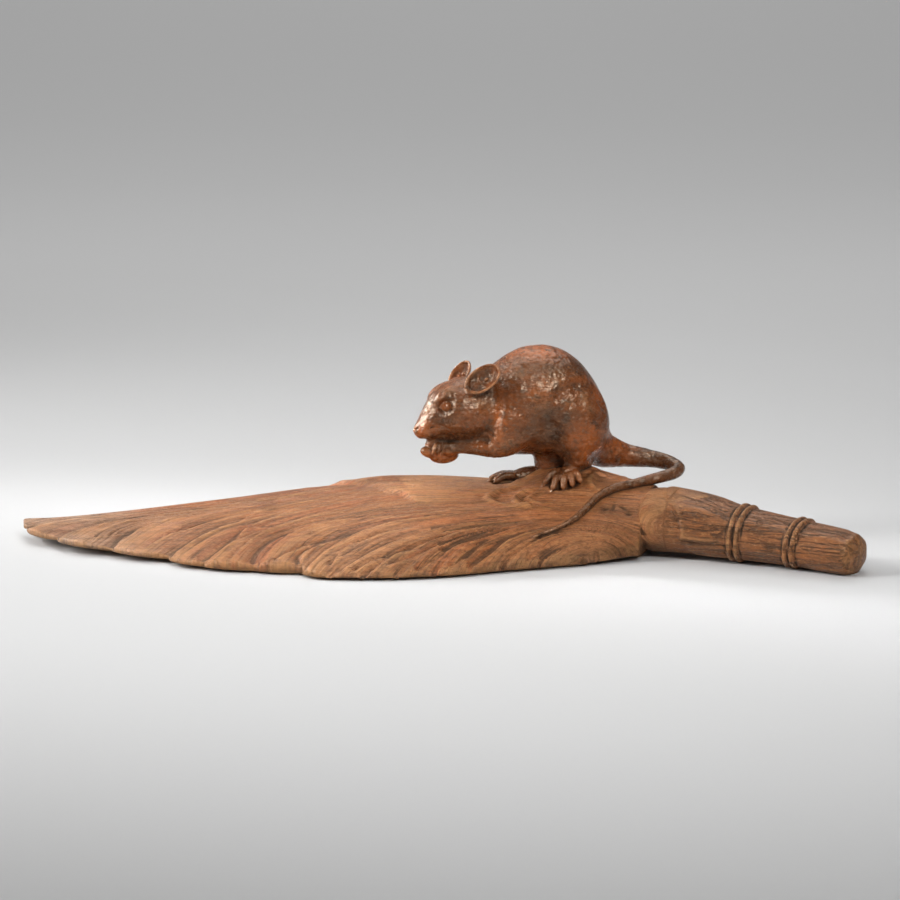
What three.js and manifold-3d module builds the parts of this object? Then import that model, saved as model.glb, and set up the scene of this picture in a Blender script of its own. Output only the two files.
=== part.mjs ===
// An okimono: a rat nibbling a nut while it stands on a bird's-wing feather brush, carved as one piece of wood.
// Millimetres, +Z up. +X runs from the feather tips to the handle, and -Y is the side that the rat turns to.
// The origin is the middle of the footprint, on the surface that the brush lies on.
import * as THREE from "three";
import { mergeVertices } from "three/addons/utils/BufferGeometryUtils.js";
import Module from "manifold-3d";

const wasm = await Module();
wasm.setup();

// Wing of the brush: its length runs from the leading feather's tip to the neck
const WING_LENGTH = 282;
const WING_WIDTH = 103;
const WING_HEIGHT = 26.2;
const FEATHER_EDGE = 1.9;
const FEATHER_STEP = 1.5;
const COVERT_STEP = 1.8;
const EDGE_LIFT = 0.7;
const FLAT_SHARE = 0.74;
const TIP_LIFT = 4.5;
const NECK_LIFT = 3.4;
const FEATHER_LAG = 0.29;

// Handle, bound with two pairs of cords
const HANDLE_LENGTH = 95.5;
const HANDLE_ANGLE = 27.5;
const HANDLE_BEND = 8;
const HANDLE_END_WIDTH = 22;
const HANDLE_END_HEIGHT = 17;
const SHEATH_STEP = 0.9;
const CORD_DIAMETER = 2.5;

// Mound of wood under the rat's heels
const MOUND_HEIGHT = 7.8;
const MOUND_HALF_WIDTH = 11;

// Rat, with its sizes as hundredths of its length
const RAT_LENGTH = 86;
const RAT_WIDTH = 45;
const RAT_TURN = 15;
const SOLE_HEIGHT = 27;
const EAR_WALL = 1.3;
const EAR_DISH = 2.6;
const EAR_NARROWNESS = 0.64;
const TAIL_TIP_DIAMETER = 0.9;

const WOOD = { color: 0x8a5230, roughness: 0.55, metalness: 0 };

const lerp = THREE.MathUtils.lerp;
const rad = THREE.MathUtils.degToRad;
const smooth = (from, to, value) => THREE.MathUtils.smoothstep(value, from, to);
const vec = (x, y, z) => new THREE.Vector3(x, y, z);

// A smooth function of one number that passes through the given [place, value] pairs and never overshoots them.
function profile(pairs) {
  const slope = pairs.slice(1).map(([x, y], i) => (y - pairs[i][1]) / (x - pairs[i][0]));
  const tangent = pairs.map((_, i) => {
    const before = slope[Math.max(i - 1, 0)];
    const after = slope[Math.min(i, slope.length - 1)];
    return before * after <= 0 ? 0 : (2 * before * after) / (before + after);
  });
  return (x) => {
    const last = pairs.length - 1;
    if (x <= pairs[0][0]) return pairs[0][1];
    if (x >= pairs[last][0]) return pairs[last][1];
    const i = pairs.findIndex(([place]) => place > x) - 1;
    const width = pairs[i + 1][0] - pairs[i][0];
    const t = (x - pairs[i][0]) / width;
    const start = (1 + 2 * t) * (1 - t) ** 2 * pairs[i][1] + t * (1 - t) ** 2 * width * tangent[i];
    const end = t * t * (3 - 2 * t) * pairs[i + 1][1] + t * t * (t - 1) * width * tangent[i + 1];
    return start + end;
  };
}

// A closed skin over rings of equally many points, with a point in the middle of each end.
function skin(rings) {
  const sides = rings[0].length;
  const middle = (ring) => ring.reduce((sum, p) => sum.add(p), vec(0, 0, 0)).divideScalar(sides);
  const points = [...rings.flat(), middle(rings[0]), middle(rings.at(-1))];
  const faces = [];
  const last = (rings.length - 1) * sides;
  for (let k = 0; k < sides; k++) {
    const next = (k + 1) % sides;
    for (let i = 0; i < rings.length - 1; i++) {
      const [a, b, c, d] = [i * sides + k, i * sides + next, (i + 1) * sides + next, (i + 1) * sides + k];
      faces.push(a, b, c, a, c, d);
    }
    faces.push(rings.length * sides, next, k, rings.length * sides + 1, last + k, last + next);
  }
  return new THREE.BufferGeometry().setFromPoints(points).setIndex(faces);
}

// An oval ring of points around a centre, in the plane of two directions.
function oval(centre, across, up, halfWidth, halfHeight, sides, power = 2) {
  const bulge = (value) => Math.sign(value) * Math.abs(value) ** (2 / power);
  return Array.from({ length: sides }, (_, k) => {
    const angle = (2 * Math.PI * k) / sides;
    return centre
      .clone()
      .addScaledVector(across, halfWidth * bulge(Math.cos(angle)))
      .addScaledVector(up, halfHeight * bulge(Math.sin(angle)));
  });
}

// A round limb along a smooth curve through [x, y, z, radius] points, flattened by its own up direction.
function limb(points, { sides = 8, steps = 10, flat = 1, upward = vec(0, 0, 1) } = {}) {
  const curve = new THREE.CatmullRomCurve3(points.map(([x, y, z]) => vec(x, y, z)), false, "centripetal");
  const last = points.length - 1;
  const radius = profile(points.map((p, i) => [i / last, p[3]]));
  const rings = [];
  for (let i = 0; i <= steps; i++) {
    const t = i / steps;
    const along = curve.getTangent(t);
    const across = along.clone().cross(upward).normalize();
    const up = across.clone().cross(along).normalize();
    rings.push(oval(curve.getPoint(t), up, across, radius(t) * flat, radius(t), sides));
  }
  return skin(rings);
}

// An egg with its own radii, turned and placed.
function egg(centre, radii, turn = [0, 0, 0], detail = 10) {
  const place = new THREE.Matrix4().compose(
    vec(...centre),
    new THREE.Quaternion().setFromEuler(new THREE.Euler(...turn.map(rad), "ZYX")),
    vec(...radii),
  );
  return new THREE.SphereGeometry(1, detail + 3, detail).applyMatrix4(place);
}

// A geometry as a solid that can be joined and cut.
function solid(geometry) {
  const bare = geometry.clone().deleteAttribute("normal").deleteAttribute("uv");
  const merged = mergeVertices(bare, 1e-4);
  const made = new wasm.Manifold(
    new wasm.Mesh({
      numProp: 3,
      vertProperties: merged.attributes.position.array,
      triVerts: new Uint32Array(merged.index.array),
    }),
  );
  if (made.volume() <= 0) throw new Error("a skin is inside out");
  return made;
}

// A solid as a geometry.
function geometryOf(shape) {
  const mesh = shape.getMesh();
  return new THREE.BufferGeometry()
    .setAttribute("position", new THREE.BufferAttribute(new Float32Array(mesh.vertProperties), 3))
    .setIndex(new THREE.BufferAttribute(mesh.triVerts, 1));
}

// The wing's plan: places along it are shares of its length, and places across are shares of its width
const nearEdge = profile([
  [0, 0.733], [0.075, 0.5], [0.17, 0.364], [0.262, 0.228], [0.319, 0.112], [0.39, 0.063], [0.465, 0.01],
  [0.553, 0], [0.66, 0.049], [0.738, 0.136], [0.812, 0.209], [0.887, 0.291], [0.947, 0.349], [1, 0.364],
]);
const farEdge = profile([
  [0, 0.879], [0.057, 0.908], [0.149, 0.951], [0.273, 0.987], [0.383, 1], [0.624, 0.995],
  [0.73, 0.976], [0.837, 0.908], [0.926, 0.78], [1, 0.69],
]);
const featherNotches = [
  [0.003, 0.85], [0.011, 0.791], [0.067, 0.597], [0.156, 0.442], [0.245, 0.325],
  [0.301, 0.199], [0.379, 0.141], [0.447, 0.102], [0.493, 0.006],
];
const cordPlaces = [0.415, 0.447, 0.68, 0.711];
const innerFeathers = [0.57, 0.65, 0.725, 0.8, 0.875, 0.955];

// The wing's heights, as shares of its height, and how round its top is on the near side
const crestHeight = profile([
  [0, 0.25], [0.149, 0.36], [0.273, 0.5], [0.383, 0.65], [0.5, 0.86], [0.57, 0.985], [0.65, 1.02], [0.72, 1.04],
  [0.85, 1.07], [0.91, 1.06], [0.96, 1.03], [1, 0.99],
]);
const crestPlace = profile([[0.4, 0.04], [0.56, 0.17], [0.8, 0.33], [1, 0.46]]);
const farWall = profile([[0.44, 0.95], [0.6, 0.55], [0.85, 0.5], [1, 0.35]]);
const roundness = profile([[0.2, 1.2], [0.55, 1.6], [0.8, 2.1], [1, 2.2]]);
const fullness = profile([[0.2, 1.02], [0.55, 1.3], [0.8, 1.8], [1, 2]]);
const underRise = profile([[0, 1], [0.1, 0.66], [0.2, 0.33], [0.3, 0.12], [0.42, 0], [1, 0]]);
const neckRise = profile([[0.84, 0], [0.93, 0.45], [1, 1]]);

// The mound rises steeply in front of the heels and falls away along the neck
const moundHeight = profile([
  [0.74, 0], [0.77, 0.16], [0.817, 0.86], [0.855, 1], [0.875, 1], [0.895, 0.76], [0.915, 0.6], [0.935, 0.45],
  [0.97, 0.3], [1, 0.2],
]);
const moundMiddle = 0.62;

// How far a point is across the wing, from 0 at the far edge to 1 at the near one.
function acrossAt(along, y) {
  const far = farEdge(along);
  return THREE.MathUtils.clamp((far - y / WING_WIDTH) / (far - nearEdge(along)), 0, 1);
}

// The underside: flat in the middle, and lifted at the edges, the tips and the neck.
function wingUnder(x, y) {
  const along = x / WING_LENGTH;
  const edge = Math.max(0, Math.abs(2 * acrossAt(along, y) - 1) - FLAT_SHARE) / (1 - FLAT_SHARE);
  return EDGE_LIFT * edge + TIP_LIFT * underRise(along) + NECK_LIFT * neckRise(along);
}

// The top without its feathers: a crest that falls away to both edges.
function wingTop(x, y) {
  const along = x / WING_LENGTH;
  const across = acrossAt(along, y);
  const crest = WING_HEIGHT * crestHeight(along);
  const place = crestPlace(along);
  const near = wingUnder(x, y) + FEATHER_EDGE;
  const aside = (y - moundMiddle * WING_WIDTH) / MOUND_HALF_WIDTH;
  const mound = MOUND_HEIGHT * moundHeight(along) * Math.exp(-(aside ** 2));
  if (across > place) {
    const fall = (across - place) / (1 - place);
    return mound + near + (crest - near) * (1 - fall ** roundness(along)) ** (1 / fullness(along));
  }
  return mound + crest * lerp(farWall(along), 1, 1 - ((place - across) / place) ** 2);
}

// The upper row of short feathers ends in a low step across the wing's far side.
function covertStep(x, y) {
  const along = x / WING_LENGTH;
  const across = acrossAt(along, y);
  const start = 0.47 + 0.28 * Math.min(across, 0.5);
  const rise = smooth(start - 0.012, start + 0.012, along) * (1 - smooth(0.6, 0.8, along));
  return COVERT_STEP * rise * (1 - smooth(0.42, 0.58, across));
}

// The trailing edge from the leading tip to the neck: each feather ends in a rounded nose over the one before it.
function trailingEdge() {
  const stations = [];
  const nose = [0.03, 0.14, 0.32, 0.6, 0.96];
  featherNotches.slice(1).forEach(([x1, y1], k) => {
    const [x0, y0] = featherNotches[k];
    nose.forEach((share) => {
      const angle = (share * Math.PI) / 2;
      stations.push({ x: x1 - (x1 - x0) * Math.cos(angle), y: y0 + (y1 - y0) * Math.sin(angle), share, size: 1 });
    });
  });
  innerFeathers.forEach((x1, k) => {
    const x0 = k ? innerFeathers[k - 1] : featherNotches.at(-1)[0];
    [0.1, 0.5, 0.96].forEach((share) => {
      const x = lerp(x0, x1, share);
      stations.push({ x, y: nearEdge(x), share, size: lerp(0.4, 0.05, k / (innerFeathers.length - 1)) });
    });
  });
  return stations;
}

// One slanting section of the wing, as a ring: over the top from the far edge to the near one, and back underneath.
function wingSection({ x, y, share, size }) {
  const lag = FEATHER_LAG * Math.sin(Math.PI * x);
  const far = vec((x + lag) * WING_LENGTH, farEdge(x + lag) * WING_WIDTH, 0);
  const near = vec(x * WING_LENGTH, y * WING_WIDTH, 0);
  const bend = vec(lerp(near.x, far.x, 0.45), lerp(near.y, far.y, 0.62), 0);
  const line = new THREE.QuadraticBezierCurve3(far, bend, near);
  const overTop = Array.from({ length: 17 }, (_, i) => (i / 16) ** 0.92);
  const underneath = [1, 0.86, 0.5, 0.14, 0];
  const top = overTop.map((t) => {
    const p = line.getPoint(t);
    const relief = size * FEATHER_STEP * (0.45 - share) * smooth(0.12, 0.6, t);
    return vec(p.x, p.y, wingTop(p.x, p.y) + covertStep(p.x, p.y) + Math.max(relief, -0.6 * FEATHER_EDGE));
  });
  const under = underneath.map((t) => {
    const p = line.getPoint(t);
    return vec(p.x, p.y, wingUnder(p.x, p.y));
  });
  return [...top, ...under];
}

function wing() {
  return skin(trailingEdge().map(wingSection));
}

// The handle's centre line bends towards the viewer as it leaves the neck
const handleStart = vec(0.967 * WING_LENGTH, 0.535 * WING_WIDTH, 0);
function handlePoint(t) {
  const angle = rad(HANDLE_ANGLE - HANDLE_BEND * (1 - t));
  const reach = t * HANDLE_LENGTH;
  return vec(handleStart.x + reach * Math.cos(angle), handleStart.y - reach * Math.sin(angle), 0);
}
const handleWidth = profile([[0, 1.62], [0.15, 1.5], [0.42, 1.3], [0.7, 1.14], [0.93, 1], [1, 0.72]]);
const handleTop = profile([[0, 1.66], [0.2, 1.55], [0.42, 1.34], [0.7, 1.14], [0.93, 1], [1, 0.86]]);
const handleBottom = profile([[0, 0.08], [0.2, 0.12], [0.42, 0.08], [0.7, 0.06], [0.9, 0], [0.95, 0], [1, 0.16]]);

// A ring round the handle, a little outside its surface.
function handleRing(t, outside, sides) {
  const ahead = handlePoint(t + 0.01).sub(handlePoint(t - 0.01)).normalize();
  const across = vec(-ahead.y, ahead.x, 0);
  const top = HANDLE_END_HEIGHT * handleTop(t) + outside;
  const bottom = HANDLE_END_HEIGHT * handleBottom(t) - outside;
  const halfWidth = (HANDLE_END_WIDTH * handleWidth(t)) / 2 + outside;
  const centre = handlePoint(t).setZ((top + bottom) / 2);
  return oval(centre, across, vec(0, 0, 1), halfWidth, (top - bottom) / 2, sides, 2.25);
}

// The handle: a band at the neck, a sheath over it, a stem bound with cords, and a rounded end.
function handle() {
  const stations = [
    [-0.04, -3], [0, 0.4], [0.06, 0.5], [0.125, 0.2], [0.135, -0.2], [0.14, SHEATH_STEP], [0.2, 0.7], [0.3, 0.2],
    [0.4, 0], [0.56, 0], [0.8, 0], [0.9, 0], [0.95, 0], [0.98, -0.4], [1, -1.4],
  ];
  const half = CORD_DIAMETER / 2 / HANDLE_LENGTH;
  cordPlaces.forEach((t) => {
    stations.push([t - half, 0], [t - 0.6 * half, 0.34 * CORD_DIAMETER]);
    stations.push([t + 0.6 * half, 0.34 * CORD_DIAMETER], [t + half, 0]);
  });
  stations.sort(([a], [b]) => a - b);
  return skin(stations.map(([t, outside]) => handleRing(t, outside, 17)));
}

function brush() {
  return solid(wing()).add(solid(handle()));
}

// The rat stands on the wing: forward is towards its nose, left is towards the viewer, and heights start at its soles
const U = RAT_LENGTH / 100;
const ratPlace = vec(0.819 * WING_LENGTH, 0.694 * WING_WIDTH, 0);
const ratFrame = new THREE.Matrix4()
  .makeRotationZ(rad(180 + RAT_TURN))
  .setPosition(ratPlace.x, ratPlace.y, SOLE_HEIGHT);

// Where the wing's surface is, in the rat's frame.
function groundAt(forward, left) {
  const p = vec(forward, left, 0).applyMatrix4(ratFrame);
  return wingTop(p.x, p.y) - SOLE_HEIGHT;
}

// Body and head: forward place, top, bottom and half width, in hundredths of the rat's length
const bodyStations = [
  [-27.6, 30, 23, 4], [-26.4, 38, 19, 10.5], [-23.8, 47.5, 15, 16.5], [-18.6, 56.2, 12.5, 21.5], [-11.8, 63.5, 14, 25],
  [-3.5, 68.2, 15, 25.6], [4.7, 69.9, 15.4, 25.4], [13, 69.2, 15.6, 24.4], [21, 66.3, 16, 22.6], [29, 61.8, 17, 19.8],
  [37.5, 57.3, 19.5, 16.2], [44.7, 56, 22, 14.8], [51.8, 54.4, 23.4, 13.2], [57.6, 51.4, 24, 11.4], [62.2, 46.8, 24.4, 9.2],
  [65.5, 41.6, 24.8, 7.2], [68, 36.2, 25, 5.8], [69.7, 32.8, 25.8, 4.2], [70.7, 30.4, 27, 2],
];

function body() {
  const wide = RAT_WIDTH / (52 * U);
  return skin(
    bodyStations.map(([forward, top, bottom, half]) =>
      oval(
        vec(forward * U, 0, ((top + bottom) / 2) * U),
        vec(0, 1, 0), vec(0, 0, 1), half * wide * U, ((top - bottom) / 2) * U, 18, 2.15,
      ),
    ),
  );
}

// A point above the wing, with a radius, from hundredths of the rat's length.
function over([forward, left], above, radius) {
  return [forward * U, left * U, groundAt(forward * U, left * U) + above * U, radius * U];
}

// The two hind legs, as places forward and left: each toe is a root and a tip
const nearLeg = {
  thigh: [-8, 15.2, 33.4],
  shank: [[-5, 16, 22, 8.8], [-8.6, 15.4, 14.6, 5.4]],
  heel: [-13.5, 13],
  sole: [[-15, 12.6], [-9.5, 14], [-4.5, 15.8], [-1, 17]],
  toes: [
    [[1, 14.8], [10.4, 17.4]], [[1.2, 17], [8, 23.2]], [[-0.8, 18.4], [1.8, 24.8]], [[-3.3, 18.8], [-3.2, 24.3]],
    [[-5.6, 18.6], [-7, 23.2]],
  ],
};
const farLeg = {
  thigh: [0.5, -15.2, 33.4],
  shank: [[4, -12.5, 22, 8.6], [1.5, -10.5, 14, 5.2]],
  heel: [-2.5, -9.5],
  sole: [[-3.5, -9.5], [5, -9], [13, -9], [18, -9.2]],
  toes: [
    [[19, -6.8], [29.6, -5.2]], [[20, -8.6], [32, -8]], [[19.6, -10.4], [31, -11.4]], [[18.6, -12], [28, -14.6]],
    [[16.5, -13.4], [23, -17.4]],
  ],
};

// A thigh, its shank and the long hind foot with five toes.
function hindLeg(leg) {
  const thigh = egg(leg.thigh.map((value) => value * U), [15.6 * U, 10.8 * U, 19 * U], [0, 14, 0], 8);
  const shankPoints = leg.shank.map((p) => p.map((value) => value * U));
  const shank = limb([...shankPoints, over(leg.heel, 3, 3.6)], { steps: 4, sides: 9 });
  const [above, radii] = [[2.2, 2.8, 2.2, 1.3], [2.6, 4, 4.6, 3.4]];
  const foot = limb(leg.sole.map((place, i) => over(place, above[i], radii[i])), { steps: 5, flat: 0.7 });
  const toes = leg.toes.map(([root, tip]) => {
    const between = (share) => [lerp(root[0], tip[0], share), lerp(root[1], tip[1], share)];
    return limb([over(root, 1.9, 1.7), over(between(0.5), 2.1, 1.45), over(tip, 0.3, 0.6)], { steps: 3, sides: 6 });
  });
  return [thigh, shank, foot, ...toes];
}

// The wood left standing between the legs.
function crotch() {
  return egg([-3 * U, -1 * U, 12 * U], [12 * U, 9 * U, 13 * U], [0, 10, 0], 7);
}

// A bent arm that brings its paw up to the nut, with four fingers over it.
function arm(side) {
  const upper = limb(
    [
      [20 * U, side * 9.5 * U, 34 * U, 10 * U],
      [27 * U, side * 13 * U, 26 * U, 8.4 * U],
      [33 * U, side * 13.6 * U, 22 * U, 6 * U],
      [43 * U, side * 9.8 * U, 20.8 * U, 4 * U],
      [51 * U, side * 6.6 * U, 21 * U, 3.4 * U],
      [55.5 * U, side * 5.4 * U, 20.8 * U, 2.8 * U],
    ],
    { steps: 9 },
  );
  const fingers = [0, 1, 2, 3].map((i) => {
    const forward = (54.8 + 2.6 * i) * U;
    return limb(
      [
        [forward - 1.2 * U, side * 5.4 * U, 23 * U, 1.5 * U],
        [forward + 0.4 * U, side * 6.2 * U, 19.6 * U, 1.35 * U],
        [forward + 0.4 * U, side * 3.6 * U, 16 * U, 0.8 * U],
      ],
      { steps: 3, sides: 6, upward: vec(1, 0, 0) },
    );
  });
  return [upper, ...fingers];
}

// The nut held under the mouth.
function nut() {
  return [
    egg([53.8 * U, 0, 15.6 * U], [7 * U, 5.6 * U, 3.9 * U], [0, 6, 0], 6),
    egg([62 * U, 0, 17.2 * U], [5.6 * U, 4.2 * U, 3 * U], [0, -14, 0], 6),
  ];
}

// A thin dished ear on one side: its opening turns out from straight ahead.
function ear(side, turn, forward, height, size) {
  const radius = size * U;
  const steps = [0.45, 0.78, 1];
  const inner = steps.map((share) => new THREE.Vector2(radius * share, EAR_DISH * share ** 2.2));
  const outer = steps.map((share) => new THREE.Vector2(radius * share, EAR_DISH * share ** 2.2 - EAR_WALL));
  const rim = new THREE.Vector2(radius + 0.35 * EAR_WALL, EAR_DISH - EAR_WALL / 2);
  const bottom = new THREE.Vector2(0, -EAR_WALL);
  const outline = [bottom, ...outer, rim, ...inner.reverse(), new THREE.Vector2(0, 0)];
  const opening = vec(Math.cos(rad(turn)), side * Math.sin(rad(turn)), 0.42).normalize();
  const lengthways = vec(0.9, 0, -0.45).projectOnPlane(opening).normalize();
  const place = new THREE.Matrix4()
    .makeBasis(lengthways, opening.clone().cross(lengthways), opening)
    .setPosition(forward * U, side * 14.5 * U, height * U)
    .scale(vec(1, EAR_NARROWNESS, 1));
  const root = limb(
    [
      [(forward + 4.5) * U, side * 8 * U, (height - 8) * U, 5 * U],
      [(forward + 1.5) * U, side * 14 * U, (height - 2) * U, 3.2 * U],
    ],
    { steps: 2, sides: 8 },
  );
  return [new THREE.LatheGeometry(outline, 13).rotateX(Math.PI / 2).applyMatrix4(place), root];
}

function eye(side) {
  return [egg([58.2 * U, side * 10 * U, 43.6 * U], [2.5 * U, 1.9 * U, 2.2 * U], [0, 20, 0], 5)];
}

// The tail leaves the rump, turns back towards the viewer and lies down along the wing.
function tail() {
  const points = [
    [-14, 0, 23, 12], [-27, 0.5, 15, 8.2], [-37, 2, 12.8, 5.8], [-46, 4.6, 11.6, 4.7], [-54, 9, 10.4, 4.1],
    [-58.2, 15, 9.3, 3.7], [-59.6, 20, 8, 3.4], [-56.2, 23.2, 6.6, 3.1], [-49.5, 25, 5.4, 2.9],
    [-42, 26, 4.2, 2.7], [-33, 27.7, 2.9, 2.4],
  ].map((p) => p.map((value) => value * U));
  const lying = [[-24, 29.5], [-14.7, 32.4], [-6.3, 37.9], [1.4, 43], [8.8, 45.8], [16, 47.7], [24, 49.5]];
  lying.forEach(([forward, left], i) => {
    const radius = lerp(2.2 * U, TAIL_TIP_DIAMETER / 2, i / (lying.length - 1));
    points.push([forward * U, left * U, groundAt(forward * U, left * U) + 0.4 * radius, radius]);
  });
  return [limb(points, { sides: 8, steps: 32 })];
}

function rat() {
  const pieces = [
    body(), crotch(), ...hindLeg(nearLeg), ...hindLeg(farLeg), ...arm(1), ...arm(-1), ...nut(),
    ...ear(1, 58, 39.4, 56, 9.8), ...ear(-1, -30, 42.2, 54, 8.2), ...eye(1), ...eye(-1), ...tail(),
  ];
  return pieces.map((piece) => solid(piece.applyMatrix4(ratFrame))).reduce((all, piece) => all.add(piece));
}

const carved = geometryOf(brush().add(rat()));
carved.computeBoundingBox();
const middle = carved.boundingBox.getCenter(vec(0, 0, 0));
const okimono = new THREE.Mesh(carved, new THREE.MeshStandardMaterial(WOOD));
okimono.name = "rat_on_feather_brush";
okimono.position.set(-middle.x, -middle.y, -carved.boundingBox.min.z);

const group = new THREE.Group();
group.add(okimono);
export default group;
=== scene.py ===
"""The look of the rat on a feather brush: a finely carved mesh in place of the faceted solid, its wood, and a studio.

Modelling is in millimetres, in the carving's own plan: x runs from the leading feather's tip to the handle, y from
the near edge of the wing to the far one, and z up from the table. The rat has a frame of its own on top of that.
"""

import math
from types import SimpleNamespace

import bmesh
import bpy
import numpy as np
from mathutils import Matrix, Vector


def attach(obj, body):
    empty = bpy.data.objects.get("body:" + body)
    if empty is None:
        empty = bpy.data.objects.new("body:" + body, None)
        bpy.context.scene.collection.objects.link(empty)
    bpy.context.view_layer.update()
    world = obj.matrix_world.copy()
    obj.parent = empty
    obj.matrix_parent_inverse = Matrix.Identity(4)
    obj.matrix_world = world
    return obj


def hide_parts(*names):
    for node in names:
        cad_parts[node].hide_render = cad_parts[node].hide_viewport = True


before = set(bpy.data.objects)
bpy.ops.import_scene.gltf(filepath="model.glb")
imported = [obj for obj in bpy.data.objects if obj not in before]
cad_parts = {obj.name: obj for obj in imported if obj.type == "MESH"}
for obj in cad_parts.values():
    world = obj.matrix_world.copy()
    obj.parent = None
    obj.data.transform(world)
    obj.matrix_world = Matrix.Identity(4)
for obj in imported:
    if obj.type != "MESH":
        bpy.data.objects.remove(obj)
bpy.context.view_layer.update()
NODE = "rat_on_feather_brush"

# Camera, as the photograph was taken
CAMERA_TARGET = Vector((6.8, 6.0, 44.0))
CAMERA_ELEVATION = math.radians(10.5)
CAMERA_DISTANCE = 1300.0
CAMERA_LENS = 122.4

# Wing of the brush
WING_LENGTH = 282.0
WING_WIDTH = 103.0
WING_HEIGHT = 26.2
FEATHER_EDGE = 1.9
FEATHER_STEP = 1.5
COVERT_STEP = 1.8
EDGE_LIFT = 0.7
FLAT_SHARE = 0.74
TIP_LIFT = 4.5
NECK_LIFT = 3.4
FEATHER_LAG = 0.29
EDGE_THINNING = 1.0
MOUND_HEIGHT = 7.8
MOUND_HALF_WIDTH = 11.0

# Handle
HANDLE_LENGTH = 95.5
HANDLE_ANGLE = 27.5
HANDLE_BEND = 8.0
HANDLE_END_WIDTH = 22.0
HANDLE_END_HEIGHT = 17.0
SHEATH_STEP = 0.9
CORD_DIAMETER = 2.5

# Rat, with its sizes as hundredths of its length
RAT_LENGTH = 86.0
RAT_WIDTH = 45.0
RAT_TURN = math.radians(15)
SOLE_HEIGHT = 27.0
EAR_WALL = 1.3
EAR_DISH = 2.6
EAR_NARROWNESS = 0.64
TAIL_TIP_DIAMETER = 0.9
U = RAT_LENGTH / 100

# Fineness of the meshes
WING_STEP = 0.95
HANDLE_STEP = 0.85
RAT_GRID = 0.46
RAT_KEPT = 0.36
RAT_LOW, RAT_HIGH = (-57.0, -25.5, -17.0), (63.5, 45.5, 62.5)


def lerp(a, b, t):
    return a + (b - a) * t


def smooth(start, end, value):
    t = np.clip((value - start) / (end - start), 0, 1)
    return t * t * (3 - 2 * t)


def bell(value):
    return np.exp(-(value**2))


def profile(pairs):
    """A smooth function through the given (place, value) pairs that never overshoots them."""
    places, values = (np.array(column, float) for column in zip(*pairs))
    width = np.diff(places)
    slope = np.diff(values) / width
    tangent = np.empty_like(values)
    tangent[0], tangent[-1] = slope[0], slope[-1]
    before, after = slope[:-1], slope[1:]
    total = np.where(before * after > 0, before + after, 1)
    tangent[1:-1] = np.where(before * after > 0, 2 * before * after / total, 0)

    def evaluate(x):
        x = np.clip(x, places[0], places[-1])
        i = np.clip(np.searchsorted(places, x, side="right") - 1, 0, len(width) - 1)
        t = (x - places[i]) / width[i]
        start = (1 + 2 * t) * (1 - t) ** 2 * values[i] + t * (1 - t) ** 2 * width[i] * tangent[i]
        end = t * t * (3 - 2 * t) * values[i + 1] + t * t * (t - 1) * width[i] * tangent[i + 1]
        return start + end

    return evaluate


# Wing: plan and heights, as shares of its length, width and height

near_edge = profile([
    (0, 0.733), (0.075, 0.5), (0.17, 0.364), (0.262, 0.228), (0.319, 0.112), (0.39, 0.063), (0.465, 0.01),
    (0.553, 0), (0.66, 0.049), (0.738, 0.136), (0.812, 0.209), (0.887, 0.291), (0.947, 0.349), (1, 0.364),
])
far_edge = profile([
    (0, 0.879), (0.057, 0.908), (0.149, 0.951), (0.273, 0.987), (0.383, 1), (0.624, 0.995),
    (0.73, 0.976), (0.837, 0.908), (0.926, 0.78), (1, 0.69),
])
FEATHER_NOTCHES = [
    (0.003, 0.85), (0.011, 0.791), (0.067, 0.597), (0.156, 0.442), (0.245, 0.325),
    (0.301, 0.199), (0.379, 0.141), (0.447, 0.102), (0.493, 0.006),
]
WING_END = 0.944
crest_height = profile([
    (0, 0.25), (0.149, 0.36), (0.273, 0.5), (0.383, 0.65), (0.5, 0.86), (0.57, 0.985), (0.65, 1.02), (0.72, 1.04),
    (0.85, 1.07), (0.91, 1.06), (0.96, 1.03), (1, 0.99),
])
crest_place = profile([(0.4, 0.04), (0.56, 0.17), (0.8, 0.33), (1, 0.46)])
far_wall = profile([(0.44, 0.95), (0.6, 0.55), (0.85, 0.5), (1, 0.35)])
roundness = profile([(0.2, 1.2), (0.55, 1.6), (0.8, 2.1), (1, 2.2)])
fullness = profile([(0.2, 1.02), (0.55, 1.3), (0.8, 1.8), (1, 2)])
under_rise = profile([(0, 1), (0.1, 0.66), (0.2, 0.33), (0.3, 0.12), (0.42, 0), (1, 0)])
neck_rise = profile([(0, 0), (0.84, 0), (0.93, 0.45), (1, 1)])
mound_height = profile([
    (0.74, 0), (0.77, 0.16), (0.817, 0.86), (0.855, 1), (0.875, 1), (0.895, 0.76), (0.915, 0.6), (0.935, 0.45),
    (0.97, 0.3), (1, 0.2),
])
MOUND_MIDDLE = 0.62


def across_at(along, y):
    """How far a point is across the wing, from 0 at the far edge to 1 at the near one."""
    far = far_edge(along)
    return np.clip((far - y / WING_WIDTH) / (far - near_edge(along)), 0, 1)


def wing_under(x, y):
    along = x / WING_LENGTH
    edge = np.maximum(0, np.abs(2 * across_at(along, y) - 1) - FLAT_SHARE) / (1 - FLAT_SHARE)
    return EDGE_LIFT * edge + TIP_LIFT * under_rise(along) + NECK_LIFT * neck_rise(along)


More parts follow.
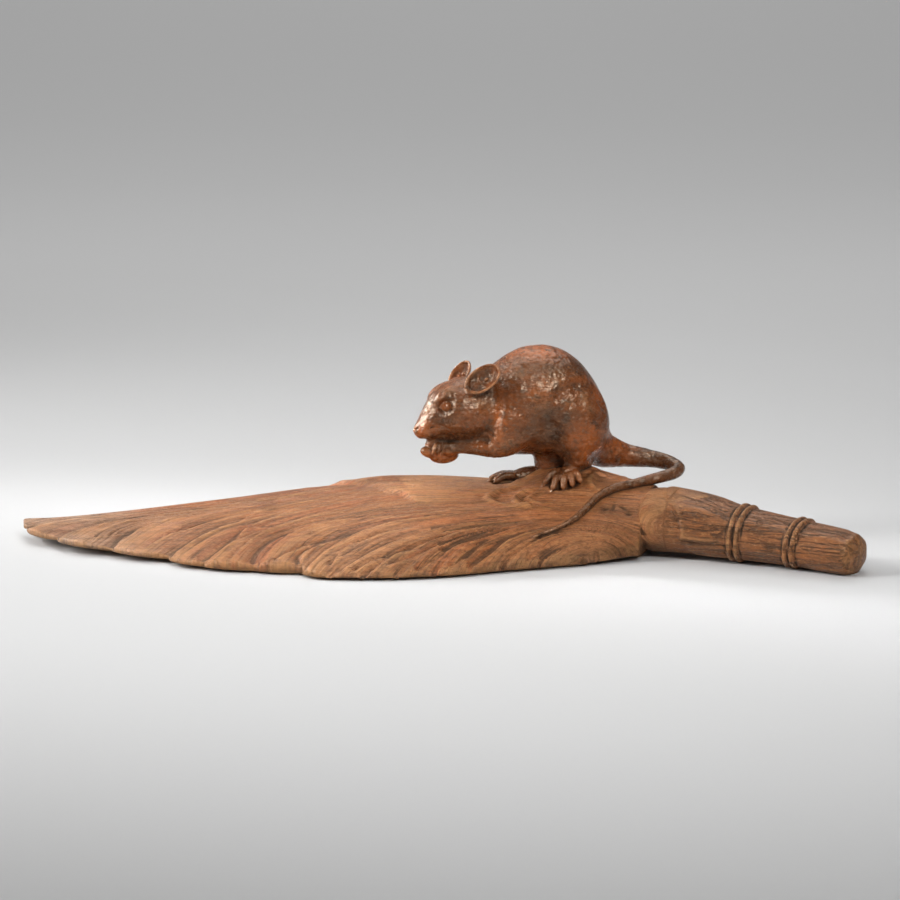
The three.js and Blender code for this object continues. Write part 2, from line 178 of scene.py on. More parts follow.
def wing_top(x, y):
    """The top without its feathers: a crest that falls away to both edges, and the mound under the rat's heels."""
    along = x / WING_LENGTH
    across = across_at(along, y)
    crest = WING_HEIGHT * crest_height(along)
    place = crest_place(along)
    near = wing_under(x, y) + FEATHER_EDGE
    mound = MOUND_HEIGHT * mound_height(along) * bell((y - MOUND_MIDDLE * WING_WIDTH) / MOUND_HALF_WIDTH)
    fall = np.clip((across - place) / (1 - place), 0, 1)
    near_side = near + (crest - near) * (1 - fall ** roundness(along)) ** (1 / fullness(along))
    far_side = crest * lerp(far_wall(along), 1, 1 - (np.clip(place - across, 0, 1) / place) ** 2)
    return mound + np.where(across > place, near_side, far_side)


def covert_step(x, y):
    """The upper row of short feathers ends in a low step across the wing's far side."""
    along = x / WING_LENGTH
    across = across_at(along, y)
    start = 0.47 + 0.28 * np.minimum(across, 0.5) + 0.0025 * np.sin(48 * across)
    rise = smooth(start - 0.005, start + 0.005, along)
    return COVERT_STEP * rise * (1 - smooth(0.45, 0.6, across)) * (1 - smooth(0.6, 0.8, along))


# Feather lines: each starts on the trailing edge, climbs away from it and bends towards the wrist under the rat.
# A line is known by the x at which it leaves the edge, in millimetres.
line_level = profile([
    (0, 92), (19, 85), (44, 80), (69, 72), (86, 58), (106, 44), (125, 36), (146, 31), (185, 29), (240, 27), (282, 26),
])
line_reach = profile([(0, 14), (44, 9), (69, 18), (86, 14), (106, 6), (125, 12), (146, 34), (180, 22), (282, 20)])
LINE_STARTS = np.linspace(0, WING_LENGTH, 565)
LINE_COLUMNS = np.linspace(0, 1.08 * WING_LENGTH, 306)


def feather_lines():
    """For each column of the wing, the height across it of every feather line."""
    starts, columns = np.meshgrid(LINE_STARTS, LINE_COLUMNS, indexing="ij")
    edge = near_edge(starts / WING_LENGTH) * WING_WIDTH
    wrist = 42 + 0.3 * (line_level(starts) - 42)
    level = lerp(line_level(starts), wrist, smooth(120, 262, columns))
    run = np.maximum(columns - starts, 0)
    heights = edge + (level - edge) * (1 - np.exp(-run / line_reach(starts)))
    heights = np.where(columns < starts, edge - 4 * (starts - columns), heights)
    return np.minimum.accumulate(heights - 0.002 * starts, axis=0)


LINE_HEIGHTS = feather_lines()


def feather_at(x, y):
    """Which feather line passes through a point of the wing: lines beyond the first one are negative."""
    column = np.clip(x / (LINE_COLUMNS[1] - LINE_COLUMNS[0]), 0, len(LINE_COLUMNS) - 1.001)
    left = column.astype(int)
    share = column - left
    lines = np.empty(x.shape)
    for c in np.unique(left):
        here = left == c
        for side, weight in ((c, 1 - share[here]), (c + 1, share[here])):
            heights = LINE_HEIGHTS[::-1, side]
            found = np.interp(y[here], heights, LINE_STARTS[::-1])
            found = np.where(y[here] > heights[-1], heights[-1] - y[here], found)
            lines[here] = weight * found + (0 if side == c else lines[here])
    return lines


FEATHER_BOUNDS = np.array(
    [x * WING_LENGTH for x, _ in FEATHER_NOTCHES] + [152.0, 166.0, 181.0, 195.0, 209.0, 224.0, 245.0]
)


def feather_relief(x, y, line):
    """Overlapping feathers: each has a crown, and a sharp edge that lies over the feather before it."""
    bounds = np.concatenate([[-60.0, -16.0], FEATHER_BOUNDS, [300.0]])
    k = np.clip(np.searchsorted(bounds, line, side="right") - 1, 0, len(bounds) - 2)
    start, end = bounds[k], bounds[k + 1]
    share = np.clip((line - start) / (end - start), 0, 1)
    run = np.maximum(x - np.maximum(line, 0), 0)
    strength = lerp(1.0, 0.28, smooth(8, 75, run)) * lerp(1, 0.55, smooth(139, 200, line)) * smooth(-60, 4, line)
    strength *= 1 - 0.75 * smooth(150, 235, x) * smooth(20, 45, y)
    strength *= 1 - smooth(238, 262, x)
    scale = 1.8 * FEATHER_STEP * strength
    overlap = scale * (0.45 - share**0.8)
    crown = 0.45 * scale * 4 * share * (1 - share)
    groove = -0.42 * scale * bell(share * (end - start) / 1.3)
    return overlap + crown + groove


def stroke_relief(x, y, line):
    """Knife strokes along the feathers, most of them near the trailing edge."""
    depth = np.zeros(x.shape)
    strokes = np.random.default_rng(11)
    for _ in range(420):
        at = strokes.uniform(-30, 236)
        first = max(at, 0) + strokes.exponential(38) * (1 if at > 0 else 2)
        last = first + strokes.uniform(12, 48)
        width = strokes.uniform(0.75, 1.3)
        amount = strokes.uniform(0.12, 0.42)
        drift = strokes.uniform(-0.05, 0.05)
        near = np.abs(line - at - drift * (x - first)) < 4
        spot = x[near], line[near]
        along = smooth(first, first + 6, spot[0]) * (1 - smooth(last - 9, last, spot[0]))
        depth[near] += amount * along * bell((spot[1] - at - drift * (spot[0] - first)) / width)
    return -np.minimum(depth, 0.8)


def ring_relief(x, y):
    """Terraces like year rings on the front of the mound, and two small curls behind the near foot."""
    relief = np.zeros(x.shape)
    for cx, cy, rx, ry, facing, amount in (
        (226, 47, 11.5, 7.5, 205, 0.8), (219, 50, 16, 9, 190, 0.6), (228, 47.5, 7.5, 4.5, 215, 0.4),
        (254, 55, 7.5, 4.6, 165, 0.55), (262, 58.5, 4.2, 2.6, 160, 0.4),
    ):
        dx, dy = x - cx, y - cy
        far = np.hypot(dx / rx, dy / ry)
        turn = np.degrees(np.arctan2(dy, dx)) - facing
        turn = np.abs((turn + 180) % 360 - 180)
        band = bell((far - 1) * rx / 1.5)
        relief += 2.0 * amount * band * (1 - smooth(60, 115, turn))
        relief -= 0.7 * amount * bell((far - 0.78) * rx / 1.8) * (1 - smooth(60, 115, turn))
    return relief


def rib_relief(x, y):
    """The rib of wood that runs down from between the rat's feet, the hollow behind it along the far foot, and the
    little pits between the near toes."""
    forward, left, _ = np.moveaxis(to_rat(np.stack([x, y, np.zeros_like(x)], axis=-1)) / U, -1, 0)
    along = smooth(-2, 8, forward) * (1 - smooth(19, 27, forward))
    rib = 1.9 * along * bell((left - lerp(1.0, 5.5, np.clip(forward / 22, 0, 1))) / 3.0)
    trench = 3.0 * smooth(4, 9, forward) * (1 - smooth(27, 31, forward)) * bell((left + 4.2) / 1.8)
    pits = np.zeros_like(x)
    toes = NEAR_LEG["toes"]
    for (root, tip), (next_root, next_tip) in zip(toes, toes[1:]):
        place = (np.array(root) + tip + next_root + next_tip) / 4
        pits += 1.5 * bell(np.hypot(forward - place[0], left - place[1]) / 1.7)
    return rib - trench - pits


# Grooves between and along the feathers: the places they pass in plan, how deep they are cut and how wide
CARVED_LINES = (
    (((19, 57.5), (30, 68.7), (40, 75.6), (60, 82)), 0.8, 0.8),
    (((31, 52.5), (42, 62), (58, 71), (80, 78)), 0.6, 0.7),
    (((44, 45), (48, 62), (56, 68), (69, 75.6), (96, 80)), 0.9, 0.8),
    (((57, 39), (66, 55), (80, 66), (104, 74)), 0.55, 0.7),
    (((69, 31), (77, 44), (87, 55), (102, 72.5)), 1.1, 0.9),
    (((83, 21), (89, 28), (102.5, 57), (118, 66)), 1.1, 0.9),
    (((95, 17), (99, 30), (112, 50), (134, 60)), 0.55, 0.7),
    (((105, 14), (107, 27), (114, 39), (132, 44), (151, 42), (167, 40)), 1.1, 0.9),
    (((125, 10), (124, 16.5), (133, 26), (143, 30)), 1.1, 0.9),
    (((113, 13.5), (125, 25), (142, 30), (160, 33)), 0.7, 0.7),
    (((137, 5), (142, 17), (156, 25), (178, 30)), 0.7, 0.7),
    (((146, 2), (157, 9), (170, 12.5), (183, 17)), 0.9, 0.9),
    (((98, 54), (123, 54), (145, 53)), 0.5, 0.6),
    (((183, 23.5), (199.5, 28), (225, 34)), 0.75, 0.55),
    (((160, 4), (172, 10), (184, 19), (190, 24)), 0.6, 0.8),
    (((183, 13), (192, 18.5), (199, 23), (204.5, 26)), 0.8, 0.9),
    (((186, 6.6), (193, 11.6), (201, 20), (208, 25)), 0.8, 1.0),
    (((194, 9), (203.5, 16), (212, 24), (216, 26)), 0.8, 1.0),
    (((172, 3), (181, 9), (192, 19), (199, 24)), 0.6, 0.9),
    (((219, 19), (226.5, 23), (231, 25)), 0.5, 0.8),
    (((223.5, 20), (233, 25), (237, 27)), 0.5, 0.8),
    (((240, 24), (246, 30), (249, 34)), 0.4, 0.8),
    (((248.5, 26), (248.5, 32)), 0.5, 0.45),
)


def line_relief(x, y):
    """Each groove is sharp, with a slope down to it from the far side and a small shoulder on the near one."""
    relief = np.zeros(x.shape)
    for places, amount, width in CARVED_LINES:
        path = curve([(*place, 0.0) for place in places], 30)[:, :2]
        low, high = path.min(0) - 6 * width, path.max(0) + 6 * width
        near = (x > low[0]) & (x < high[0]) & (y > low[1]) & (y < high[1])
        points = np.stack([x[near], y[near]], axis=1)
        best = np.full(len(points), 99.0)
        side, along = np.zeros(len(points)), np.zeros(len(points))
        for i, (a, b) in enumerate(zip(path, path[1:])):
            run = b - a
            share = np.clip(((points - a) @ run) / (run @ run), 0, 1)
            off = points - a - share[:, None] * run
            far = np.hypot(off[:, 0], off[:, 1])
            closer = far < best
            best = np.where(closer, far, best)
            side = np.where(closer, np.sign(run[0] * off[:, 1] - run[1] * off[:, 0]), side)
            along = np.where(closer, (i + share) / (len(path) - 1), along)
        fading = smooth(0, 0.06, along) * (1 - 0.9 * smooth(0.5, 1, along))
        cut = bell(best / width) + 0.5 * bell(best / (4 * width)) * (side > 0)
        shoulder = 0.4 * bell((best - 2.4 * width) / (1.6 * width)) * (side < 0)
        relief[near] += 1.9 * amount * fading * (shoulder - cut)
    return relief


# Each tick's place and its angle in degrees
MARKS = (
    (252.5, 42.0, 20), (256.0, 43.4, 75), (260.0, 43.6, -15), (262.5, 41.6, 10), (267.5, 44.6, 60),
    (271.0, 46.4, -30), (273.0, 44.4, 35),
)


def mark_relief(x, y):
    """Rows of short shallow cuts where the carver signed the work, made as plain ticks and not as writing."""
    depth = np.zeros(x.shape)
    for mx, my, turn in MARKS:
        angle = math.radians(turn)
        dx, dy = x - mx, y - my
        along = dx * math.cos(angle) + dy * math.sin(angle)
        side = -dx * math.sin(angle) + dy * math.cos(angle)
        depth += 0.9 * bell(along / 2.1) * bell(side / 0.85)
    return -depth


def feather_carving(x, y, line):
    """How far the feathers, and the strokes and grooves along them, stand out of the wing."""
    return feather_relief(x, y, line) + stroke_relief(x, y, line) + line_relief(x, y)


def trailing_edge():
    """Stations along the trailing edge: each feather ends in a rounded nose over the one before it."""
    stations = []
    for (x0, y0), (x1, y1) in zip(FEATHER_NOTCHES, FEATHER_NOTCHES[1:]):
        size = math.hypot((x1 - x0) * WING_LENGTH, (y1 - y0) * WING_WIDTH)
        count = max(4, round(size / WING_STEP))
        for i in range(count):
            angle = (i + 0.5) / count * math.pi / 2
            stations.append((x1 - (x1 - x0) * math.cos(angle), y0 + (y1 - y0) * math.sin(angle)))
    start = FEATHER_NOTCHES[-1][0]
    count = round((WING_END - start) * WING_LENGTH / WING_STEP)
    for x in np.linspace(start + 0.004, WING_END, count):
        stations.append((x, float(near_edge(x))))
    return np.array(stations)


def loft(rings):
    """Vertices and faces of a closed skin over an array of rings."""
    count, sides = rings.shape[:2]
    ids = np.arange(count * sides).reshape(count, sides)
    turned = np.roll(ids, -1, axis=1)
    quads = np.stack([ids[:-1], turned[:-1], turned[1:], ids[1:]], axis=-1).reshape(-1, 4)
    caps = [list(range(sides - 1, -1, -1)), list(range((count - 1) * sides, count * sides))]
    return rings.reshape(-1, 3), quads.tolist() + caps


def wing_surface():
    """The whole wing: sections that slant from the near edge to the far one, over the top and back underneath."""
    stations = trailing_edge()
    x, y = stations[:, :1], stations[:, 1:]
    lag = FEATHER_LAG * np.sin(np.pi * x)
    near = np.concatenate([x * WING_LENGTH, y * WING_WIDTH], axis=1)
    far = np.concatenate([(x + lag) * WING_LENGTH, far_edge(x + lag) * WING_WIDTH], axis=1)
    bend = lerp(near, far, np.array([0.45, 0.62]))

    def line(t):
        t = np.asarray(t)[None, :, None]
        return (1 - t) ** 2 * far[:, None] + 2 * t * (1 - t) * bend[:, None] + t**2 * near[:, None]

    over = line(np.linspace(0, 1, round(104 / WING_STEP)) ** 0.95)
    gx, gy = over[..., 0], over[..., 1]
    across = across_at(gx / WING_LENGTH, gy)
    carved = feather_carving(gx, gy, feather_at(gx, gy))
    carved = np.maximum(carved * smooth(0.0, 0.1, across), -0.6 * FEATHER_EDGE)
    thinned = EDGE_THINNING * smooth(0.9, 1.0, across) ** 2
    top = wing_top(gx, gy) - thinned + covert_step(gx, gy) + carved + ring_relief(gx, gy) + mark_relief(gx, gy)
    top = top + rib_relief(gx, gy)
    over_top = np.concatenate([over, top[..., None]], axis=2)
    back = line([1, 0.97, 0.86, 0.6, 0.35, 0.14, 0.03, 0])
    under = wing_under(back[..., 0], back[..., 1])[..., None]
    rounded = np.array([0.35, 0.08, 0, 0, 0, 0, 0.1, 0.5])[None, :, None] * FEATHER_EDGE
    return loft(np.concatenate([over_top, np.concatenate([back, under + rounded], axis=2)], axis=1))


# Handle

HANDLE_START = np.array([0.967 * WING_LENGTH, 0.535 * WING_WIDTH])
HANDLE_DIRECTION = math.radians(HANDLE_ANGLE - 0.5 * HANDLE_BEND)
CORD_PLACES = (0.415, 0.447, 0.68, 0.711)
handle_width = profile([(0, 1.62), (0.15, 1.5), (0.42, 1.3), (0.7, 1.14), (0.93, 1), (1, 0.72)])
handle_top = profile([(0, 1.66), (0.2, 1.55), (0.42, 1.34), (0.7, 1.14), (0.93, 1), (1, 0.86)])
handle_bottom = profile([(0, 0.08), (0.2, 0.12), (0.42, 0.08), (0.7, 0.06), (0.9, 0), (0.95, 0), (1, 0.16)])
SEAM_ANGLE = -17.0


def handle_point(t):
    angle = np.radians(HANDLE_ANGLE - HANDLE_BEND * (1 - t))
    reach = t * HANDLE_LENGTH
    return HANDLE_START[0] + reach * np.cos(angle), HANDLE_START[1] - reach * np.sin(angle)


def handle_carving(t, angle):
    """How far the handle's carved leaf and cords stand out: angles are from the near side, up over the top."""
    mm = t * HANDLE_LENGTH
    leaf_start = 0.065 + 0.125 * (1 - np.clip(np.sin(np.radians(angle)), -0.3, 1) ** 2)
    upper = (angle > SEAM_ANGLE) & (angle < 190)
    leaf = np.where(upper, SHEATH_STEP * smooth(-0.5, 0.5, (t - leaf_start) * HANDLE_LENGTH), 0.0)
    lower_start = 0.2 - 0.0009 * (angle + 17)
    lower = 0.45 * SHEATH_STEP * smooth(-0.5, 0.5, (t - lower_start) * HANDLE_LENGTH)
    out = np.where(upper, leaf, lower) * (1 - smooth(0.3, 0.42, t))
    seam = bell((angle - SEAM_ANGLE - 14 * (t - 0.3)) / 2.6) * smooth(0.17, 0.2, t) * (1 - smooth(0.39, 0.41, t))
    out -= 0.75 * seam
    out -= 0.35 * bell((t - leaf_start) * HANDLE_LENGTH / 0.9) * upper
    # Long wrinkles and knife facets
    ridges = np.zeros_like(out)
    folds = np.random.default_rng(5)
    for _ in range(46):
        at, drift = folds.uniform(-90, 270), folds.uniform(-40, 40)
        first = folds.uniform(0.05, 0.95)
        last = first + folds.uniform(0.06, 0.25)
        along = smooth(first - 0.02, first + 0.02, t) * (1 - smooth(last - 0.03, last, t))
        off = (angle - at - drift * (t - first) + 180) % 360 - 180
        ridges -= folds.uniform(0.12, 0.4) * along * bell(off / folds.uniform(2.2, 4.5))
    facet = 0.22 * np.cos(np.radians(7 * angle + 70 * np.sin(3.2 * t)))
    cords = np.zeros_like(out)
    valley = np.zeros_like(out)
    lean = 1.1 * np.sin(np.radians(angle + 25))
    for place in CORD_PLACES:
        off = (mm - place * HANDLE_LENGTH - lean) / (CORD_DIAMETER / 2)
        cords = np.maximum(cords, 0.5 * CORD_DIAMETER * np.sqrt(np.clip(1 - off**2, 0, 1)))
        valley += bell((np.abs(off) - 1.15) / 0.35)
    plain = 1 - np.clip(cords / 0.4, 0, 1)
    out += (ridges + facet * smooth(0.03, 0.1, t)) * plain - 0.3 * np.minimum(valley, 1)
    knot = bell((t - 0.935) / 0.02) * (0.8 * bell((angle - 70) / 24) + 0.4 * bell((angle - 125) / 30))
    rim = bell((t - 0.972) / 0.018) * bell((angle - 60) / 50)
    return out + cords - knot + 0.5 * rim


def handle_surface():
    count = round(HANDLE_LENGTH / HANDLE_STEP)
    t = np.concatenate([[-0.04], np.linspace(0, 0.99, count)])
    sides = round(78 / HANDLE_STEP)
    around = np.linspace(-90, 270, sides, endpoint=False)
    tt, aa = np.meshgrid(t, around, indexing="ij")
    px, py = handle_point(tt)
    ax, ay = handle_point(tt + 0.01)
    bx, by = handle_point(tt - 0.01)
    ahead = np.stack([ax - bx, ay - by], axis=-1)
    ahead /= np.linalg.norm(ahead, axis=-1, keepdims=True)
    near_side = np.stack([ahead[..., 1], -ahead[..., 0]], axis=-1)
    top = HANDLE_END_HEIGHT * handle_top(tt)
    bottom = HANDLE_END_HEIGHT * handle_bottom(tt)
    half_width = HANDLE_END_WIDTH * handle_width(tt) / 2
    start = lerp(-3.5, -0.7, smooth(-0.04, 0.0, tt)) + 0.9 * smooth(-0.01, 0.05, tt)
    end = -5.2 * np.clip((tt - 0.945) / 0.045, 0, 1) ** 2.4
    out = start + end + handle_carving(tt, aa) * smooth(-0.01, 0.02, tt) * (1 - 0.8 * smooth(0.97, 0.99, tt))
    # The underside stays above the table
    out = np.where(aa < -40, np.minimum(out, 0.6 * bottom + 0.6), out)
    cos, sin = np.cos(np.radians(aa)), np.sin(np.radians(aa))
    power = 2 / 2.25
    side = np.sign(cos) * np.abs(cos) ** power * (half_width + out)
    rise = np.sign(sin) * np.abs(sin) ** power * ((top - bottom) / 2 + out)
    x, y = px + near_side[..., 0] * side, py + near_side[..., 1] * side
    rings = np.stack([x, y, (top + bottom) / 2 + rise], axis=-1)
    rings[..., 2] = np.maximum(rings[..., 2], 0.02)
    return loft(rings[:, ::-1])


# Rat: a signed distance on a grid in its own frame. Forward is to its nose, left is to the viewer, and heights
# start at its soles.

RAT_PLACE = np.array([0.819 * WING_LENGTH, 0.694 * WING_WIDTH, SOLE_HEIGHT])
FORWARD = np.array([-math.cos(RAT_TURN), -math.sin(RAT_TURN)])
LEFT = np.array([math.sin(RAT_TURN), -math.cos(RAT_TURN)])


def from_rat(p):
    """Points in the rat's frame, as points of the carving."""
    x = RAT_PLACE[0] + p[..., 0] * FORWARD[0] + p[..., 1] * LEFT[0]
    y = RAT_PLACE[1] + p[..., 0] * FORWARD[1] + p[..., 1] * LEFT[1]
    return np.stack([x, y, p[..., 2] + SOLE_HEIGHT], axis=-1)


def to_rat(p):
    dx, dy = p[..., 0] - RAT_PLACE[0], p[..., 1] - RAT_PLACE[1]
    forward = dx * FORWARD[0] + dy * FORWARD[1]
    left = dx * LEFT[0] + dy * LEFT[1]
    return np.stack([forward, left, p[..., 2] - SOLE_HEIGHT], axis=-1)


def ground_at(forward, left):
    """Height of the wing in the rat's frame."""
    p = from_rat(np.array([forward, left, 0.0]))
    return float(wing_top(p[0], p[1])) - SOLE_HEIGHT


def blend_min(a, b, k):
    h = np.maximum(k - np.abs(a - b), 0) / k
    return np.minimum(a, b) - h * h * k / 4


CORNERS = [(i, j, k) for i in (0, 1) for j in (0, 1) for k in (0, 1)]


class Clay:
    """A block of clay: a signed distance in millimetres on a regular grid, that forms are added to and cut from."""

    def __init__(self, low, high, spacing):
        self.low, self.spacing = np.array(low, float), spacing
        self.axes = [np.arange(a, b, spacing).astype(np.float32) for a, b in zip(low, high)]
        self.value = np.full([len(axis) for axis in self.axes], 9.0, np.float32)

    def window(self, low, high):
        cuts = []
        for a, b, start, axis in zip(low, high, self.low, self.axes):
            first = int(np.clip((a - start) / self.spacing, 0, len(axis) - 1))
            last = int(np.clip((b - start) / self.spacing + 2, first + 1, len(axis)))
            cuts.append(slice(first, last))
        x, y, z = (axis[cut] for axis, cut in zip(self.axes, cuts))
        return tuple(cuts), x[:, None, None], y[None, :, None], z[None, None, :]

    def add(self, low, high, form, blend):
        cuts, x, y, z = self.window(low - blend, high + blend)
        self.value[cuts] = blend_min(self.value[cuts], form(x, y, z), blend)

    def cut(self, low, high, form, blend):
        cuts, x, y, z = self.window(low - blend, high + blend)
        self.value[cuts] = -blend_min(-self.value[cuts], form(x, y, z), blend)

    def press(self, centre, radii, amount):
        """Push the surface in by an amount round a point, or pull it out when the amount is negative."""
        centre, radii = np.array(centre, float), np.array(radii, float)
        cuts, x, y, z = self.window(centre - 2.5 * radii, centre + 2.5 * radii)
        far = sum(((v - c) / r) ** 2 for v, c, r in zip((x, y, z), centre, radii))
        self.value[cuts] += amount * np.exp(-far)

    def sample(self, points, field=None):
        """The distance, or another field, at any points, in a straight line between grid points."""
        field = self.value if field is None else field
        g = (points - self.low) / self.spacing
        g = np.clip(g, 0, np.array(self.value.shape) - 1.001)
        i = g.astype(int)
        f = g - i
        total = np.zeros(len(points))
        for corner in CORNERS:
            weight = math.prod(f[:, n] if ahead else 1 - f[:, n] for n, ahead in enumerate(corner))
            total += weight * field[tuple((i + corner).T)]
        return total

    def slope(self, points):
        steps = 0.75 * self.spacing * np.eye(3)
        rises = [(self.sample(points + s) - self.sample(points - s)) / np.dot(s, s) ** 0.5 / 2 for s in steps]
        return np.stack(rises, axis=1)

    def holds(self, points, margin=0.0, cells=1):
        """Which points are in the grid, a margin from its low end and some cells from its high one."""
        high = self.low + (np.array(self.value.shape) - cells) * self.spacing
        return ((points > self.low + margin) & (points < high)).all(1)


def egg(centre, radii, turn=(0, 0, 0)):
    """An egg's box and its distance. It is turned about its left axis first, then forward, then up, in degrees."""
    centre, radii = np.array(centre, float), np.array(radii, float)
    a, b, c = (math.radians(v) for v in turn)
    about_x = np.array([[1, 0, 0], [0, math.cos(a), -math.sin(a)], [0, math.sin(a), math.cos(a)]])
    about_y = np.array([[math.cos(b), 0, math.sin(b)], [0, 1, 0], [-math.sin(b), 0, math.cos(b)]])
    about_z = np.array([[math.cos(c), -math.sin(c), 0], [math.sin(c), math.cos(c), 0], [0, 0, 1]])
    m = (about_z @ about_x @ about_y).T
    reach = max(radii) * 1.02

    def form(x, y, z):
        dx, dy, dz = x - centre[0], y - centre[1], z - centre[2]
        local = [m[i, 0] * dx + m[i, 1] * dy + m[i, 2] * dz for i in range(3)]
        one = sum((p / r) ** 2 for p, r in zip(local, radii)) ** 0.5
        two = sum((p / (r * r)) ** 2 for p, r in zip(local, radii)) ** 0.5
        return one * (one - 1) / np.maximum(two, 1e-6)

    return centre - reach, centre + reach, form


def curve(points, count):
    """A smooth curve through points of any dimension, as that many points."""
    points = np.array(points, float)
    if len(points) < 3:
        return lerp(points[0], points[-1], np.linspace(0, 1, count)[:, None])
    gap = np.linalg.norm(np.diff(points[:, :3], axis=0), axis=1)
    at = np.concatenate([[0], np.cumsum(gap)])
    slope = np.gradient(points, at, axis=0)
    t = np.linspace(0, at[-1], count)
    i = np.clip(np.searchsorted(at, t, side="right") - 1, 0, len(gap) - 1)
    s = ((t - at[i]) / gap[i])[:, None]
    width = gap[i][:, None]
    start = (1 + 2 * s) * (1 - s) ** 2 * points[i] + s * (1 - s) ** 2 * width * slope[i]
    end = s * s * (3 - 2 * s) * points[i + 1] + s * s * (s - 1) * width * slope[i + 1]
    return start + end


def limb(points, count=10):
    """A round limb through (forward, left, up, radius) points: its box and its distance."""
    p = curve(points, count)
    p[:, 3] = np.maximum(p[:, 3], 0.2)
    low, high = (p[:, :3] - p[:, 3:]).min(0), (p[:, :3] + p[:, 3:]).max(0)

    def form(x, y, z):
        nearest = None
        for a, b in zip(p, p[1:]):
            run = b[:3] - a[:3]
            size = max(float(run @ run), 1e-9)
            dx, dy, dz = x - a[0], y - a[1], z - a[2]
            h = np.clip((dx * run[0] + dy * run[1] + dz * run[2]) / size, 0, 1)
            far = np.sqrt((dx - h * run[0]) ** 2 + (dy - h * run[1]) ** 2 + (dz - h * run[2]) ** 2)
            far = far - (a[3] + h * (b[3] - a[3]))
            nearest = far if nearest is None else np.minimum(nearest, far)
        return nearest

    return low, high, form


def scaled(points):
    """Places in hundredths of the rat's length, in millimetres."""
    return np.array(points, float) * U


def mirrored(points, side):
    """Places on the rat's left half, or on its right half when the side is -1."""
    points = np.array(points, float)
    points[..., 1] *= side
    return points


def add_egg(clay, centre, radii, blend, turn=(0, 0, 0)):
    clay.add(*egg(scaled(centre), scaled(radii), turn), blend=blend)


def add_limb(clay, points, count, blend):
    clay.add(*limb(scaled(points), count), blend=blend)


def cut_limb(clay, points, count, blend):
    clay.cut(*limb(scaled(points), count), blend=blend)


# Sections of the body and head, in hundredths of the rat's length: how far forward, their top, bottom and half width
BODY_STATIONS = (
    (-26.5, 30, 24, 4), (-25.2, 38, 20, 10.5), (-22.4, 47.5, 15, 16.5), (-17.2, 56.2, 12.5, 21.5),
    (-10.6, 63.5, 14, 25), (-2.6, 68.2, 15, 25.6), (5.2, 69.9, 15.4, 25.4), (13, 69.4, 15.6, 24.4),
    (21, 66.6, 16, 22.6), (29, 61.8, 17, 19.8), (37.5, 57.3, 19.5, 16.2), (44.7, 56, 22, 14.8),
    (51.8, 54.4, 23.4, 13.2), (57.6, 51.6, 24.2, 11.4), (62.2, 47.2, 25, 9.2), (65.5, 42, 25.6, 7.2),
    (68, 36.8, 26, 5.6), (69.6, 33.2, 26.8, 3.8),
)
BODY_SECTIONS_WIDTH = 52
BODY_SQUARENESS = 2.12
TAIL_ROOT_END = -14
THIGH_SIZE = (15.2, 10.4, 18.6)
NEAR_LEG = {
    "thigh": (-8, 15.2, 33.4), "thigh_turn": (4, 14, 0), "shank": ((-5, 16, 22, 8.6), (-8.6, 15.4, 14.6, 5.2)),
    "heel": (-13.5, 13), "sole": ((-15, 12.6), (-9.5, 14), (-4.5, 15.8), (-1, 17)),
    "toes": (
        ((3, 15.4), (10.4, 18.2)), ((2.6, 18.4), (7.2, 23.2)), ((-0.2, 19.6), (1.8, 24.6)),
        ((-3.2, 19.8), (-3.2, 24.3)), ((-6, 19.4), (-7.6, 23.4)),
    ),
}
FAR_LEG = {
    "thigh": (0.5, -15.2, 32.5), "thigh_turn": (-4, 14, 0), "shank": ((4, -12.5, 22, 8.4), (1.5, -10.5, 14, 5)),
    "heel": (-2.5, -9.5), "sole": ((-3.5, -9.5), (5, -9), (13, -9), (18, -9.2)),
    "toes": (
        ((19, -6.8), (29.6, -5.2)), ((20, -8.6), (32, -8)), ((19.6, -10.4), (31, -11.4)), ((18.6, -12), (28, -14.6)),
        ((16.5, -13.4), (23, -17.4)),
    ),
}


def body_form(clay):
    """Body and head as one skin of oval sections, turned into a distance by its own slope."""
    x, y, z = clay.axes
    at, top, bottom, half = (np.array(c, float) * U for c in zip(*BODY_STATIONS))
    wide = RAT_WIDTH / (BODY_SECTIONS_WIDTH * U)
    top_at, bottom_at, half_at = (profile(list(zip(at, v)))(x) for v in (top, bottom, half * wide))
    middle, tall = (top_at + bottom_at) / 2, np.maximum((top_at - bottom_at) / 2, 0.5)
    yy = np.abs(y[None, :, None]) / np.maximum(half_at, 0.5)[:, None, None]
    zz = np.abs(z[None, None, :] - middle[:, None, None]) / tall[:, None, None]
    p = BODY_SQUARENESS
    ratio = (yy**p + zz**p) ** (1 / p)
    beyond = np.maximum(np.maximum(at[0] - x, x - at[-1]), 0)[:, None, None]
    ratio = (ratio + 0.5 * beyond).astype(np.float32)
    gx, gy, gz = np.gradient(ratio, clay.spacing)
    steep = np.sqrt(gx**2 + gy**2 + gz**2)
    value = np.clip((ratio - 1) / np.maximum(steep, 0.02), -9, 9)
    rump = int((TAIL_ROOT_END * U - clay.low[0]) / clay.spacing)
    value[:rump] = evened(value[:rump], clay.spacing, 14)
    return value


def evened(value, spacing, rounds):
    """Turns a rough field into distances from its zero level, a little further out with every round."""
    sign = value / np.sqrt(value**2 + spacing**2)
    for _ in range(rounds):
        slope = np.zeros_like(value)
        for axis in range(3):
            step = np.diff(value, axis=axis) / spacing
            ends = [(0, 0)] * 3
            back = np.pad(step, ends[:axis] + [(1, 0)] + ends[axis + 1 :]) * np.sign(sign)
            ahead = np.pad(step, ends[:axis] + [(0, 1)] + ends[axis + 1 :]) * np.sign(sign)
            slope += np.maximum(np.maximum(back, 0) ** 2, np.minimum(ahead, 0) ** 2)
        value = value - 0.5 * spacing * sign * (np.sqrt(slope) - 1)
    return value


